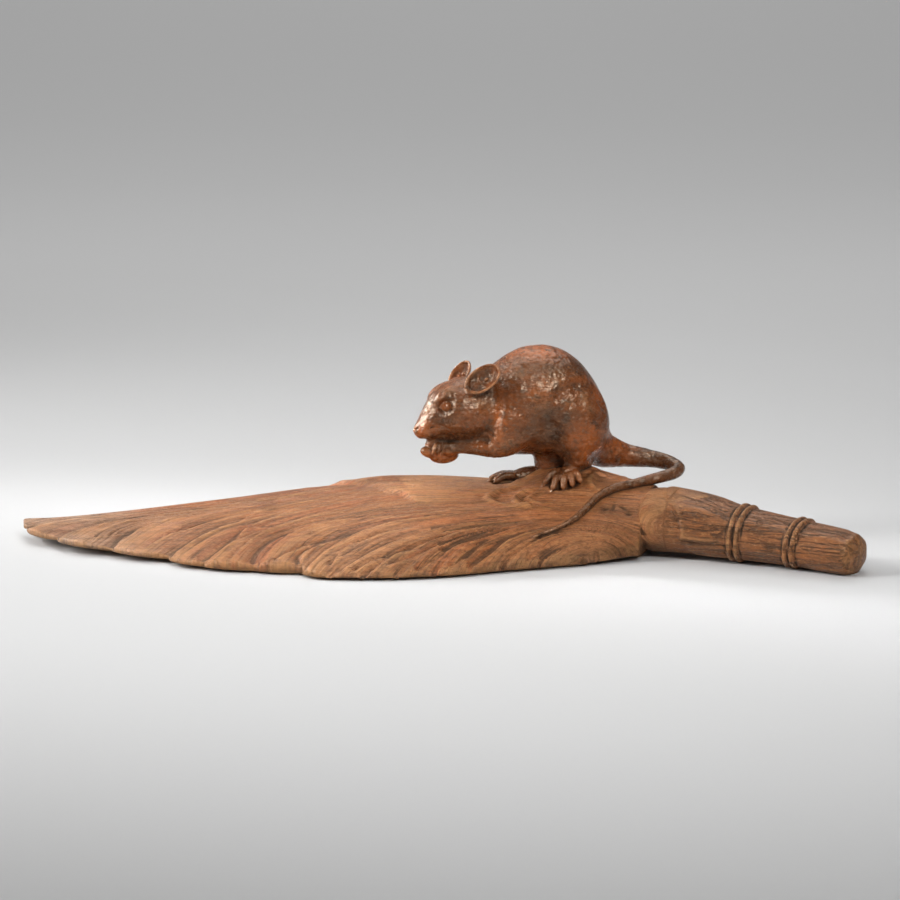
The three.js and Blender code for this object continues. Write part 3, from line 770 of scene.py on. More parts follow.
# The left half of the head: the eye, and creases as places with their radii, in hundredths of the rat's length
EYE = (57.9, 12.2, 43.4)
CHEEK_CREASE = ((35, 15.2, 50, 1.2), (34.4, 19.2, 43.4, 1.8), (36.5, 19.6, 35, 1.8), (39, 17, 28, 1.5))
PAD_CREASE = ((66.2, 6.2, 31.4, 0.2), (62.6, 8.6, 33, 0.3), (59.6, 10.4, 33.2, 0.3), (57, 12, 32, 0.15))
MOUTH_FOLD = (
    (66.4, 3, 25.6, 0.5), (63.4, 6, 26, 0.8), (60, 8.2, 26.8, 1.1), (56.4, 10, 27.2, 1.3), (52, 12.4, 28.4, 0.9),
    (47.5, 14.2, 28.4, 0.6), (42, 15.8, 28.4, 0.3),
)
NOSTRIL = ((70.9, 1.2, 30.6, 0.4), (69.8, 2.6, 31.3, 0.5))
# The lids from the front corner of the eye to the back one, in millimetres from its middle, with their radii
UPPER_LID = (
    (2.6, -1.15, -0.55, 0.32), (1.9, -0.3, 0.9, 0.42), (0.1, 0.1, 1.9, 0.5), (-1.7, -0.1, 1.2, 0.44),
    (-3.3, -0.5, 0.0, 0.28),
)
LOWER_LID = (
    (2.6, -1.15, -0.55, 0.32), (1.4, -0.5, -1.6, 0.36), (-0.2, -0.3, -1.9, 0.4), (-2.0, -0.3, -1.1, 0.36),
    (-3.3, -0.5, 0.0, 0.28),
)


def model_head(clay):
    """The cheeks, the whisker pads and the brows, then the creases round them, the eyes, the nose and the jaw."""
    for side in (1, -1):
        add_egg(clay, mirrored((46, 9.4, 38.5), side), (12.5, 7.6, 11.5), 3.0, (0, 10, 0))
        add_egg(clay, mirrored((64.2, 4.4, 30.8), side), (4.6, 3.4, 4), 2.0)
        add_egg(clay, mirrored((56, 6.6, 47.4), side), (7, 4.4, 3.6), 2.2, (0, 30, 0))
        cut_limb(clay, mirrored(CHEEK_CREASE, side), 10, 4.0)
        clay.press(scaled(mirrored((49, 14, 27), side)), (7, 3.6, 2.6), 0.8)
        cut_limb(clay, mirrored(PAD_CREASE, side), 10, 1.3)
        cut_limb(clay, mirrored(MOUTH_FOLD, side), 14, 1.4)
        model_eye(clay, scaled(mirrored(EYE, side)), side)
    clay.add(*egg(scaled((68, 0, 30)), (2.4, 2.9, 3.1)), blend=1.6)
    for side in (1, -1):
        cut_limb(clay, mirrored(NOSTRIL, side), 4, 0.4)
    clay.cut(*limb([[71 * U, 0, 29.4 * U, 0.25], [69.4 * U, 0, 25.4 * U, 0.3]], 4), blend=0.4)
    add_egg(clay, (58.6, 0, 24), (6.4, 5, 4.6), 1.2, (0, 8, 0))


def model_eye(clay, eye, side):
    """A ball between two lids that meet in a round front corner and a long back one."""
    clay.press(eye + [3.9, -side * 1.4, -0.4], (2.8, 2.2, 2.2), 0.5)
    clay.press(eye + [0, -side * 1.4, 0], (3.0, 2.2, 2.6), 0.8)
    clay.add(*egg(eye - [0, side * 0.7, 0], (2.0, 2.0, 1.8)), blend=0.1)
    for lid in (UPPER_LID, LOWER_LID):
        clay.add(*limb([[eye[0] + a, eye[1] + side * (b + 0.2), eye[2] + c, r] for a, b, c, r in lid], 16), blend=0.3)


def model_ear(clay, side, turn, forward, height, size):
    """A thin dished ear with a rolled rim that is thick in front. Its opening turns out from straight ahead."""
    radius = size * U
    opening = np.array([math.cos(math.radians(turn)), side * math.sin(math.radians(turn)), 0.42])
    opening /= np.linalg.norm(opening)
    lengthways = np.array([0.9, 0, -0.45])
    lengthways = lengthways - opening * (lengthways @ opening)
    lengthways /= np.linalg.norm(lengthways)
    widthways = np.cross(opening, lengthways)
    centre = scaled(mirrored((forward, 14.5, height), side))

    def dish(x, y, z):
        dx, dy, dz = x - centre[0], y - centre[1], z - centre[2]
        a = dx * lengthways[0] + dy * lengthways[1] + dz * lengthways[2]
        b = (dx * widthways[0] + dy * widthways[1] + dz * widthways[2]) / EAR_NARROWNESS
        up = dx * opening[0] + dy * opening[1] + dz * opening[2]
        far = np.sqrt(a * a + b * b)
        share = far / radius
        front = smooth(-0.4, 0.9, a / radius)
        sheet = np.abs(up - EAR_DISH * np.minimum(share, 1.1) ** 2.2 + EAR_WALL / 2) - EAR_WALL / 2
        shell = np.maximum(sheet, (far - radius) * 0.75)
        rim = np.sqrt(((far - radius) * 0.8) ** 2 + (up - EAR_DISH + 0.3) ** 2) - lerp(0.45, 0.85, front)
        fold = np.sqrt((a - 0.3 * radius + 0.06 * b * b) ** 2 + (up - 0.5) ** 2) - 0.7
        fold = np.maximum(fold, np.abs(b) - 0.62 * radius)
        knob = np.sqrt((a + 0.12 * radius) ** 2 + (b - 0.1 * radius) ** 2 + (up - 0.3) ** 2) - 1.15
        return blend_min(blend_min(blend_min(shell, rim, 0.6), fold, 0.8), knob, 0.6)

    reach = radius + 2.5
    root = (
        (forward + 5, 8, height - 8, 5), (forward + 3, 12, height - 4.2, 3.6), (forward + 1.4, 13.6, height - 2.4, 2),
    )
    add_limb(clay, mirrored(root, side), 5, 2.0)
    clay.add(centre - reach, centre + reach, dish, blend=0.7)
    # The front of the ear folds into the head
    low = centre + lengthways * radius * 0.9
    clay.add(*egg(low - opening * 0.6, [2.0, 1.3, 1.6]), blend=1.2)


# Patches on the rat's coat: their middle and reach, forward and up in hundredths of its length, and their strength.
# The first are painted shade in the creases of the flank and thigh, under the cheek, the ear and the tail root
SHADE_PATCHES = (
    (4, 27.7, 4.2, 11, 0.8), (-1.6, 17, 4.5, 6, 0.75), (8, 35.5, 3.6, 9, 0.5), (43.4, 31.6, 11, 3.2, 0.25),
    (-9, 51.8, 8, 1.8, 0.6), (37.8, 49, 5, 2.4, 0.6), (30, 54, 3, 7, 0.45), (-17, 13, 6, 3, 0.55),
    (48, 38, 7, 3, 0.2), (20, 30, 6, 5, 0.35), (60, 36, 6, 2.5, 0.3), (-20, 34, 3, 9, 0.3),
)
# Painted highlights on the cheek, the haunch, the back, the flank and the snout
HIGHLIGHT_PATCHES = (
    (40.7, 43.5, 5, 4, 0.7), (-9, 45.5, 3.6, 5, 0.85), (-1, 44, 2.6, 4, 0.6), (5, 56, 9, 7, 0.35),
    (13.7, 45.8, 5, 6, 0.5), (29.6, 26.4, 8, 4, 0.4), (-6, 5, 9, 5, 0.7), (66.8, 41.5, 4, 6, 0.3),
    (58.6, 51, 5, 3, 0.4), (22, 58, 8, 4, 0.3), (20, 3, 12, 4, 0.35),
)
EMBERS = (
    (-9, 27, 8, 9, 0.75), (33, 39, 2.6, 10, 0.7), (9, 68, 14, 4, 0.6), (69, 31, 3, 4, 0.6), (-18, 44, 5, 9, 0.5),
    (24, 38, 5, 7, 0.4), (48, 34, 7, 3, 0.35),
)


def patches(table, in_rat):
    """How strongly the patches of a table cover each point."""
    amount = np.zeros(len(in_rat))
    for forward, up, long, tall, strength in table:
        far = np.hypot((in_rat[:, 0] / U - forward) / long, (in_rat[:, 2] / U - up) / tall)
        amount = np.maximum(amount, strength * bell(far))
    return amount


def over(place, above, radius):
    """A point above the wing in the rat's frame, given in hundredths of its length, with a radius."""
    forward, left = place[0] * U, place[1] * U
    return [forward, left, ground_at(forward, left) + above * U, radius * U]


def model_hind_leg(clay, leg):
    """A thigh, the shank down to the heel, the long foot, and its toes that arch to their claws."""
    add_egg(clay, leg["thigh"], THIGH_SIZE, 4.5, leg["thigh_turn"])
    heel = over(leg["heel"], 3.0, 3.4)
    clay.add(*limb([*scaled(leg["shank"]), heel], 8), blend=2.6)
    heights, radii = (2.2, 2.6, 1.9, 1.1), (2.3, 3.5, 3.8, 2.8)
    sole = [over(place, above, radius) for place, above, radius in zip(leg["sole"], heights, radii)]
    clay.add(*limb(sole, 10), blend=1.4)
    for root, tip in leg["toes"]:
        root, tip = np.array(root, float), np.array(tip, float)
        toe = [over(root, 2.4, 2.1), over(lerp(root, tip, 0.4), 2.9, 1.8), over(lerp(root, tip, 0.78), 1.3, 1.5)]
        clay.add(*limb(toe, 7), blend=0.45)
        claw = [over(lerp(root, tip, 0.74), 1.2, 0.85), over(tip, 0.2, 0.35)]
        clay.add(*limb(claw, 4), blend=0.3)


ARM = ((20, 9, 34, 10), (27, 13, 26, 8.3), (33, 13.6, 22.2, 5.3), (43, 9.8, 21.8, 3.6), (49.5, 7, 21.7, 3.0))


def model_arm(clay, side):
    """The shoulder, the arm and the forepaw, with four fingers that close round the nut."""
    add_egg(clay, mirrored((27, 15, 32), side), (10, 6.5, 12), 4.0, (0, -20, 0))
    add_limb(clay, mirrored(ARM, side), 14, 2.2)
    add_egg(clay, mirrored((53.4, 6, 20.9), side), (4.8, 2.9, 3.3), 1.0, (0, 12, 0))
    for i in range(4):
        forward = 55.6 + 2.3 * i
        finger = (
            (forward - 1.8, 5.4, 23.4, 1.15), (forward - 0.2, 6.7, 22.6, 1.1),
            (forward + 0.5, 6.8, 20, 1.0), (forward + 0.6, 5.6, 17.6 + 0.4 * i, 0.65),
        )
        add_limb(clay, mirrored(finger, side), 9, 0.18)


# The tail's free part with its radii, and the places where it lies on the wing
FREE_TAIL = (
    (-14, 0, 23, 12), (-27, 0.5, 15.4, 8.4), (-37, 2, 12.8, 5.8), (-46, 4.6, 11.6, 4.7), (-54, 9, 10.4, 4.1),
    (-58.2, 15, 9.3, 3.7), (-59.6, 20, 8, 3.4), (-56.2, 23.2, 6.6, 3.1), (-49.5, 25, 5.4, 2.9),
    (-42, 26, 4.2, 2.7), (-33, 27.7, 2.9, 2.4),
)
LYING_TAIL = ((-24, 29.5), (-14.7, 32.4), (-6.3, 37.9), (1.4, 43), (8.8, 45.8), (16, 47.7), (24, 49.5))


def model_tail(clay):
    points = [*scaled(FREE_TAIL)]
    for i, (forward, left) in enumerate(LYING_TAIL):
        radius = lerp(2.2 * U, TAIL_TIP_DIAMETER / 2, i / (len(LYING_TAIL) - 1))
        place = forward * U, left * U
        points.append([*place, ground_at(*place) + 0.4 * radius, radius])
    clay.add(*limb(points[:4], 10), blend=5.0)
    clay.add(*limb(points[1:], 60), blend=0.8)


FLANK = ((11, 27, 43, 2.2), (9.2, 26, 35, 3.2), (5.8, 24.6, 25, 3.6), (2.5, 22, 15, 3))
ABOVE_THIGH = ((4, 24.5, 49, 0.6), (-5, 24, 52.5, 0.9), (-14, 22.4, 50.5, 0.9), (-20, 20, 43, 0.6))


def model_rat():
    """The rat as clay: the body first, then what grows out of it, then what is cut into it."""
    clay = Clay(RAT_LOW, RAT_HIGH, RAT_GRID)
    clay.value = np.minimum(clay.value, body_form(clay)).astype(np.float32)
    add_egg(clay, (-3, -1, 12), (12, 9, 13), 4.0, (0, 10, 0))
    model_hind_leg(clay, NEAR_LEG)
    model_hind_leg(clay, FAR_LEG)
    for side in (1, -1):
        model_arm(clay, side)
        cut_limb(clay, mirrored(FLANK, side), 10, 5.0)
        cut_limb(clay, mirrored(ABOVE_THIGH, side), 10, 4.5)
        clay.press(scaled(mirrored((18, 22, 40), side)), (6, 5, 8), 0.5)
    model_head(clay)
    model_ear(clay, 1, 58, 39.4, 56, 9.1)
    model_ear(clay, -1, -30, 42.2, 54, 7.4)
    # The nut, in two halves with a cut between them
    add_egg(clay, (56, 0, 16.7), (7.4, 5.8, 3.9), 0.4, (0, 4, 0))
    add_egg(clay, (62.8, 0, 18.6), (5.4, 4, 3), 0.5, (0, -14, 0))
    cut_limb(clay, ((61.6, 5.4, 21, 0.4), (60.6, 5, 16.4, 0.5), (60, 1, 12.8, 0.4)), 8, 0.8)
    model_tail(clay)
    return clay


def closeness(clay, reach):
    """The share of wood in a soft box of that reach round each grid point: over a half at the bottom of a hollow."""
    x, y, z = clay.axes
    plan = from_rat(np.stack(np.broadcast_arrays(x[:, None], y[None, :], 0.0), axis=-1))
    ground = wing_top(plan[..., 0], plan[..., 1]) - SOLE_HEIGHT
    share = ((clay.value < 0) | (z < ground[..., None])).astype(np.float32)
    half = max(1, round(reach / clay.spacing / 2))
    size = 2 * half + 1
    for axis in (0, 1, 2, 0, 1, 2):
        margin = [(half + 1, half) if n == axis else (0, 0) for n in range(3)]
        total = np.cumsum(np.pad(share, margin, mode="edge"), axis=axis, dtype=np.float32)
        ahead, behind = [slice(None)] * 3, [slice(None)] * 3
        ahead[axis], behind[axis] = slice(size, None), slice(0, -size)
        share = (total[tuple(ahead)] - total[tuple(behind)]) / size
    return share


def surface_of(clay):
    """Quads round the zero level of the clay, with one point in each cell that the surface passes through."""
    value = clay.value
    shape = np.array(value.shape)
    inside = value < 0

    def corner(array, c):
        return array[c[0] : shape[0] - 1 + c[0], c[1] : shape[1] - 1 + c[1], c[2] : shape[2] - 1 + c[2]]

    count = sum(corner(inside, c).astype(np.int8) for c in CORNERS)
    active = (count > 0) & (count < 8)
    cells = np.argwhere(active)
    total = np.zeros((len(cells), 3))
    hits = np.zeros(len(cells))
    for a in CORNERS:
        for axis in range(3):
            if a[axis]:
                continue
            b = tuple(1 if n == axis else v for n, v in enumerate(a))
            va = value[tuple((cells + a).T)]
            vb = value[tuple((cells + b).T)]
            cross = (va < 0) != (vb < 0)
            t = np.where(cross, va / np.where(cross, va - vb, 1), 0)
            total += np.where(cross[:, None], np.array(a) + t[:, None] * np.eye(3)[axis], 0)
            hits += cross
    points = clay.low + (cells + total / hits[:, None]) * clay.spacing
    ids = np.full(shape - 1, -1)
    ids[active] = np.arange(len(cells))
    quads = []
    for axis in range(3):
        u, v = (axis + 1) % 3, (axis + 2) % 3
        ahead = np.roll(inside, -1, axis=axis)
        for leaving in (True, False):
            edge = (inside & ~ahead) if leaving else (~inside & ahead)
            at = np.argwhere(edge)
            at = at[(at[:, axis] < shape[axis] - 1) & (at[:, u] > 0) & (at[:, v] > 0)]
            at = at[(at[:, u] < shape[u] - 1) & (at[:, v] < shape[v] - 1)]
            du, dv = np.eye(3, dtype=int)[u], np.eye(3, dtype=int)[v]
            ring = [ids[tuple(p.T)] for p in (at - du - dv, at - dv, at, at - du)]
            quads.append(np.stack(ring if leaving else ring[::-1], axis=1))
    return points, np.concatenate(quads)


def relaxed(clay, points, quads):
    """Evens the points out along the surface and puts them back on it."""
    edges = np.concatenate([quads[:, [0, 1]], quads[:, [1, 2]], quads[:, [2, 3]], quads[:, [3, 0]]])
    degree = np.bincount(edges.ravel(), minlength=len(points))[:, None]
    for _ in range(4):
        total = np.zeros_like(points)
        for n in range(3):
            total[:, n] = np.bincount(edges[:, 0], points[edges[:, 1], n], len(points))
            total[:, n] += np.bincount(edges[:, 1], points[edges[:, 0], n], len(points))
        points = lerp(points, total / degree, 0.5)
        slope = clay.slope(points)
        size = np.maximum((slope**2).sum(1), 0.3)
        move = np.clip(clay.sample(points) / size, -0.3, 0.3)
        points = points - slope * move[:, None]
    return points


def new_object(name, points, faces):
    mesh = bpy.data.meshes.new(name)
    mesh.from_pydata(np.asarray(points).tolist(), [], faces if isinstance(faces, list) else faces.tolist())
    mesh.validate()
    made = bpy.data.objects.new(name, mesh)
    bpy.context.scene.collection.objects.link(made)
    return made


def joined(objects):
    """One closed skin round all the given ones, which are used up."""
    first, *others = objects
    for other in others:
        union = first.modifiers.new("union", "BOOLEAN")
        union.operation = "UNION"
        union.solver = "MANIFOLD"
        union.object = other
    evaluated = first.evaluated_get(bpy.context.evaluated_depsgraph_get())
    mesh = bpy.data.meshes.new_from_object(evaluated)
    mesh.materials.clear()
    for o in objects:
        bpy.data.objects.remove(o)
    return mesh


def without_crumbs(mesh):
    """Keeps the largest connected piece of a mesh, and drops the few specks that carving leaves loose."""
    shape = bmesh.new()
    shape.from_mesh(mesh)
    left, pieces = set(shape.verts), []
    while left:
        waiting = [left.pop()]
        piece = list(waiting)
        while waiting:
            vertex = waiting.pop()
            found = {edge.other_vert(vertex) for edge in vertex.link_edges} & left
            left -= found
            piece += found
            waiting += found
        pieces.append(piece)
    crumbs = [vertex for piece in sorted(pieces, key=len)[:-1] for vertex in piece]
    bmesh.ops.delete(shape, geom=crumbs, context="VERTS")
    shape.to_mesh(mesh)
    shape.free()
    return mesh


def read(rows, name, width, kind=np.float32):
    """One value of every vertex, normal or edge of a mesh, a row for each."""
    values = np.empty(len(rows) * width, kind)
    rows.foreach_get(name, values)
    return values.reshape(-1, width)


def averaged(values, edges, rounds):
    """Values spread to their neighbours over the mesh, a number of times."""
    values = values.reshape(len(values), -1)
    degree = np.bincount(edges.ravel(), minlength=len(values))[:, None] + 1
    for _ in range(rounds):
        total = values.copy()
        for n in range(values.shape[1]):
            total[:, n] += np.bincount(edges[:, 0], values[edges[:, 1], n], len(values))
            total[:, n] += np.bincount(edges[:, 1], values[edges[:, 0], n], len(values))
        values = total / degree
    return values


def hollowness(points, normals, edges, rounds):
    """How far each point lies below its surroundings, in millimetres: ridges are negative."""
    return ((averaged(points, edges, rounds) - points) * normals).sum(1)


def put(mesh, name, values):
    """Keeps a number or a vector for each point of a mesh."""
    values = np.asarray(values, np.float32)
    kind, field = ("FLOAT", "value") if values.ndim == 1 else ("FLOAT_VECTOR", "vector")
    mesh.attributes.new(name, kind, "POINT").data.foreach_set(field, values.ravel())


def carved_form():
    """The whole carving as one closed mesh in millimetres, and the clay of the rat in it."""
    clay = model_rat()
    points, quads = surface_of(clay)
    rat = new_object("rat", from_rat(relaxed(clay, points, quads)), quads)
    fewer = rat.modifiers.new("fewer", "DECIMATE")
    fewer.ratio = RAT_KEPT
    brush = new_object("wing", *wing_surface())
    handle = new_object("handle", *handle_surface())
    return without_crumbs(joined([brush, handle, rat])), clay


def describe(mesh, clay):
    """Tells the wood's material about each point: where it is, on what, how deep in a cut and under which patches."""
    p = read(mesh.vertices, "co", 3).astype(float)
    normals = read(mesh.vertex_normals, "vector", 3).astype(float)
    edges = read(mesh.edges, "vertices", 2, np.int32)
    in_rat = to_rat(p)
    on_rat = (1 - smooth(0.1, 0.5, np.abs(clay.sample(in_rat)))) * clay.holds(in_rat)
    on_handle = smooth(0.02, 0.22, handle_reach(p)) * (1 - on_rat)
    put(mesh, "rat", averaged(on_rat, edges, 1)[:, 0])
    put(mesh, "handle", on_handle)
    line = feather_at(np.maximum(p[:, 0], 0), p[:, 1])
    put(mesh, "feather", line)

    facing_up = normals[:, 2]
    cuts = feather_carving(p[:, 0], p[:, 1], line)
    # Depth below the feathers' crowns: painted dark as shadow in the grooves, and pale as highlight on the crowns
    put(mesh, "cut", -cuts * smooth(0.1, 0.4, facing_up) * (1 - on_rat))
    # The steep low sides of the wing's thin edges, painted dark as their shadow
    put(mesh, "rim", smooth(0.5, 0.1, facing_up) * smooth(9, 6, p[:, 2]) * (1 - on_rat) * (1 - on_handle))
    # How sunk each point lies, over small and larger reaches: hollows and places under the rat get painted shade,
    # ridges and open places a painted highlight
    put(mesh, "hollow", averaged(hollowness(p, normals, edges, 3), edges, 1)[:, 0])
    put(mesh, "deep", averaged(hollowness(p, normals, edges, 24), edges, 2)[:, 0])
    within = clay.holds(in_rat, 1.0, 3)
    for name, reach in (("nook", 1.6), ("shelter", 4.5)):
        put(mesh, name, np.where(within, clay.sample(in_rat, closeness(clay, reach)), 0.5))

    eyes = [scaled(mirrored(EYE, side)) - [0, side * 0.7, 0] for side in (1, -1)]
    put(mesh, "eye", smooth(4.4, 2.0, np.minimum(*(np.linalg.norm(in_rat - eye, axis=1) for eye in eyes))))
    # Patches of painted shade, of painted highlight and of redder wood
    for name, table in (("stain", SHADE_PATCHES), ("polish", HIGHLIGHT_PATCHES), ("ember", EMBERS)):
        put(mesh, name, patches(table, in_rat))

    # The grain of the handle runs along it
    cos, sin = math.cos(HANDLE_DIRECTION), math.sin(HANDLE_DIRECTION)
    along_handle = p @ np.array([[cos, sin, 0], [-sin, cos, 0], [0, 0, 1]])
    put(mesh, "plan", np.where(on_handle[:, None] > 0.5, along_handle, p))
    put(mesh, "beast", in_rat)


def carve():
    """The whole carving in metres, ready for its wood."""
    mesh, clay = carved_form()
    describe(mesh, clay)
    p = read(mesh.vertices, "co", 3).astype(float)
    mesh.vertices.foreach_set("co", ((p - PLAN_MIDDLE) / 1000).astype(np.float32).ravel())
    mesh.shade_smooth()
    mesh.update()
    return mesh


def handle_reach(p):
    """How far along the handle a point is, from 0 at the neck to 1 at the end."""
    dx, dy = p[:, 0] - HANDLE_START[0], p[:, 1] - HANDLE_START[1]
    return (dx * math.cos(HANDLE_DIRECTION) - dy * math.sin(HANDLE_DIRECTION)) / HANDLE_LENGTH


PLAN_MIDDLE = np.array([180.17, 51.45, 0.0])

carving = bpy.data.objects.new("carved_rat_on_feather_brush", carve())
bpy.context.scene.collection.objects.link(carving)


class Shader:
    """Short ways to make and join a material's nodes."""

    def __init__(self, material):
        material.use_nodes = True
        self.nodes, self.links = material.node_tree.nodes, material.node_tree.links
        self.nodes.clear()

    def set(self, socket, value):
        if isinstance(value, bpy.types.NodeSocket):
            self.links.new(value, socket)
        elif value is not None:
            socket.default_value = value

    def add(self, kind, inputs=(), **settings):
        node = self.nodes.new(kind)
        for name, value in settings.items():
            setattr(node, name, value)
        for name, value in dict(inputs).items():
            self.set(node.inputs[name], value)
        return node

    def attribute(self, name, output="Fac"):
        return self.add("ShaderNodeAttribute", attribute_name=name).outputs[output]

    def axes(self, vector):
        return self.add("ShaderNodeSeparateXYZ", {0: vector}).outputs

    def maths(self, operation, a, b=None, c=None, clamp=False):
        node = self.add("ShaderNodeMath", {0: a, 1: b, 2: c}, operation=operation, use_clamp=clamp)
        return node.outputs[0]

    def times(self, *values):
        result = values[0]
        for value in values[1:]:
            result = self.maths("MULTIPLY", result, value)
        return result

    def most(self, *values):
        result = values[0]
        for value in values[1:]:
            result = self.maths("MAXIMUM", result, value)
        return result

    def less(self, a, b):
        return self.maths("SUBTRACT", a, b)

    def sum(self, start, *terms, clamp=False):
        """A start with the terms added, each a value and its factor."""
        for value, factor in terms:
            start = self.maths("MULTIPLY_ADD", value, factor, start, clamp=clamp)
        return start

    def noise(self, vector, stretch=(1.0, 1.0, 1.0), detail=2.0, roughness=0.5):
        """Noise over a place. Its patches are the smaller along an axis, the larger that axis's stretch."""
        place = self.add("ShaderNodeVectorMath", {0: vector, 1: stretch}, operation="MULTIPLY").outputs[0]
        sockets = {"Vector": place, "Scale": 1.0, "Detail": detail, "Roughness": roughness}
        return self.add("ShaderNodeTexNoise", sockets).outputs["Fac"]

    def range(self, value, low, high, to_low=0.0, to_high=1.0):
        sockets = {"Value": value, "From Min": low, "From Max": high, "To Min": to_low, "To Max": to_high}
        return self.add("ShaderNodeMapRange", sockets, interpolation_type="SMOOTHSTEP").outputs[0]

    def hairline(self, noise, width):
        """Thin lines where a noise crosses its middle value."""
        return self.range(self.maths("ABSOLUTE", self.less(noise, 0.5)), 0.0, width, 1.0, 0.0)

    def blend(self, share, a, b):
        node = self.add("ShaderNodeMix", data_type="FLOAT")
        for place, value in ((0, share), (2, a), (3, b)):
            self.set(node.inputs[place], value)
        return node.outputs[0]

    def paint(self, base, *coats):
        """A colour under coats of others, each given by the share that it covers and its colour."""
        for share, tint in coats:
            node = self.add("ShaderNodeMix", data_type="RGBA")
            for place, value in ((0, share), (6, base), (7, tint)):
                self.set(node.inputs[place], value)
            base = node.outputs[2]
        return base

    def shade(self, **inputs):
        """Ends the material in one surface with the given inputs, spelled with underscores for spaces."""
        surface = self.add("ShaderNodeBsdfPrincipled", {name.replace("_", " "): v for name, v in inputs.items()})
        self.links.new(surface.outputs[0], self.add("ShaderNodeOutputMaterial").inputs[0])


def colour(red, green, blue):
    """A colour as seen on a screen, from 0 to 255, as light."""
    light = [((v / 255 + 0.055) / 1.055) ** 2.4 if v > 10 else v / 255 / 12.92 for v in (red, green, blue)]
    return (*light, 1.0)


WOOD = colour(154, 91, 42)
WOOD_LIGHT = colour(172, 108, 56)
WOOD_RED = colour(166, 84, 30)
WOOD_WARM = colour(204, 122, 56)
WOOD_DARK = colour(72, 37, 16)
# Pale grey of the painted sheen on the feather tips
PAINTED_SHEEN_GREY = colour(204, 168, 142)
HANDLE_WOOD = colour(122, 70, 33)
RAT_WOOD = colour(82, 45, 21)
RAT_RED = colour(142, 72, 26)
TAIL_WOOD = colour(90, 60, 38)
# Pale wood: pale barbs, rubbed edges and the painted highlight on ridges and crowns
WORN_AND_HIGHLIGHT = colour(208, 152, 96)
# Pale rat wood: rubbed edges and the painted highlight patches
RAT_WORN_AND_HIGHLIGHT = colour(186, 128, 86)
# Darkest brown: hair-thin strokes and cracks, and the painted shade in hollows, under the rat and in the wing's
# grooves
DARK_LINE_AND_SHADE = colour(26, 13, 7)
# Near-black brown: random dark mottle on the rat, and its painted shade patches
DARK_MOTTLE_AND_SHADE = colour(36, 18, 9)
EMBER = colour(182, 92, 30)
GLOSS = 0.85
GLOSS_TINT = (1.0, 0.82, 0.62, 1.0)
RELIEF_STRENGTH = 0.85
RELIEF_DEPTH = 0.0008
POINT_VALUES = (
    "rat", "handle", "feather", "cut", "rim", "hollow", "deep", "nook", "shelter", "eye", "stain", "polish", "ember",
)


def point_values(s):
    """What the mesh says of each point: its two places and all that the carving put on it."""
    at = SimpleNamespace(**{name: s.attribute(name) for name in POINT_VALUES})
    at.plan, at.beast = s.attribute("plan", "Vector"), s.attribute("beast", "Vector")
    at.x, at.y, at.z = s.axes(at.plan)
    at.forward, at.left, at.up = s.axes(at.beast)
    at.wing = s.times(s.less(1.0, at.rat), s.less(1.0, at.handle))
    at.eyeball = s.range(at.eye, 0.94, 0.99)
    return at


def year_rings(s, at):
    """Nearly level layers, so that the carved form cuts them in loops."""
    warp = s.noise(at.plan, (0.004, 0.012, 0.012), 3.0)
    fine = s.noise(at.plan, (0.03, 0.1, 0.1), 2.0)
    layer = s.sum(at.z, (at.y, 0.16), (warp, 26.0), (fine, 2.4))
    ring = s.maths("FRACT", s.times(layer, 0.42))
    strength = s.range(s.noise(at.plan, (0.008, 0.02, 0.02), 1.0), 0.35, 0.7, 0.15, 1.0)
    return s.times(s.range(ring, 0.25, 0.9), s.range(ring, 0.93, 1.0, 1.0, 0.0), strength)


def grain_of(s, at):
    """The patterns that colour and relief share: first those of the block, then those that follow the feathers."""
    g = SimpleNamespace(ring=year_rings(s, at))
    fibre = s.noise(at.plan, (0.03, 0.6, 0.6), 4.0, 0.6)
    g.pore = s.range(s.noise(at.plan, (0.3, 1.7, 1.7), 2.0, 0.6), 0.56, 0.68)
    g.cloud = s.noise(at.plan, (0.012, 0.03, 0.03), 3.0)
    g.spots = s.noise(at.plan, (0.14, 0.2, 0.2), 4.0, 0.65)
    g.fleck = s.noise(at.plan, (0.5, 0.95, 0.95), 3.0, 0.7)
    cracks = s.hairline(s.noise(at.plan, (0.018, 0.3, 0.3), 4.0, 0.62), 0.035)
    g.cracks = s.times(cracks, at.handle)

    along_feather, across_feather = s.times(at.x, 0.022), s.times(at.feather, 0.36)
    barb_place = s.add("ShaderNodeCombineXYZ", {0: along_feather, 1: across_feather}).outputs[0]
    g.barb = s.noise(barb_place, detail=5.0, roughness=0.68)
    g.streak = s.blend(at.wing, fibre, s.noise(barb_place, (1.3, 1.9, 1.0), 4.0, 0.6))
    g.broad = s.noise(barb_place, (0.5, 0.3, 1.0), 2.0)
    thin = s.hairline(s.noise(barb_place, (0.9, 1.3, 1.0), 2.0, 0.55), 0.03)
    here_and_there = s.range(s.noise(at.plan, (0.05, 0.08, 0.08), 2.0), 0.45, 0.62)
    g.thin = s.times(thin, here_and_there, at.wing)
    return g


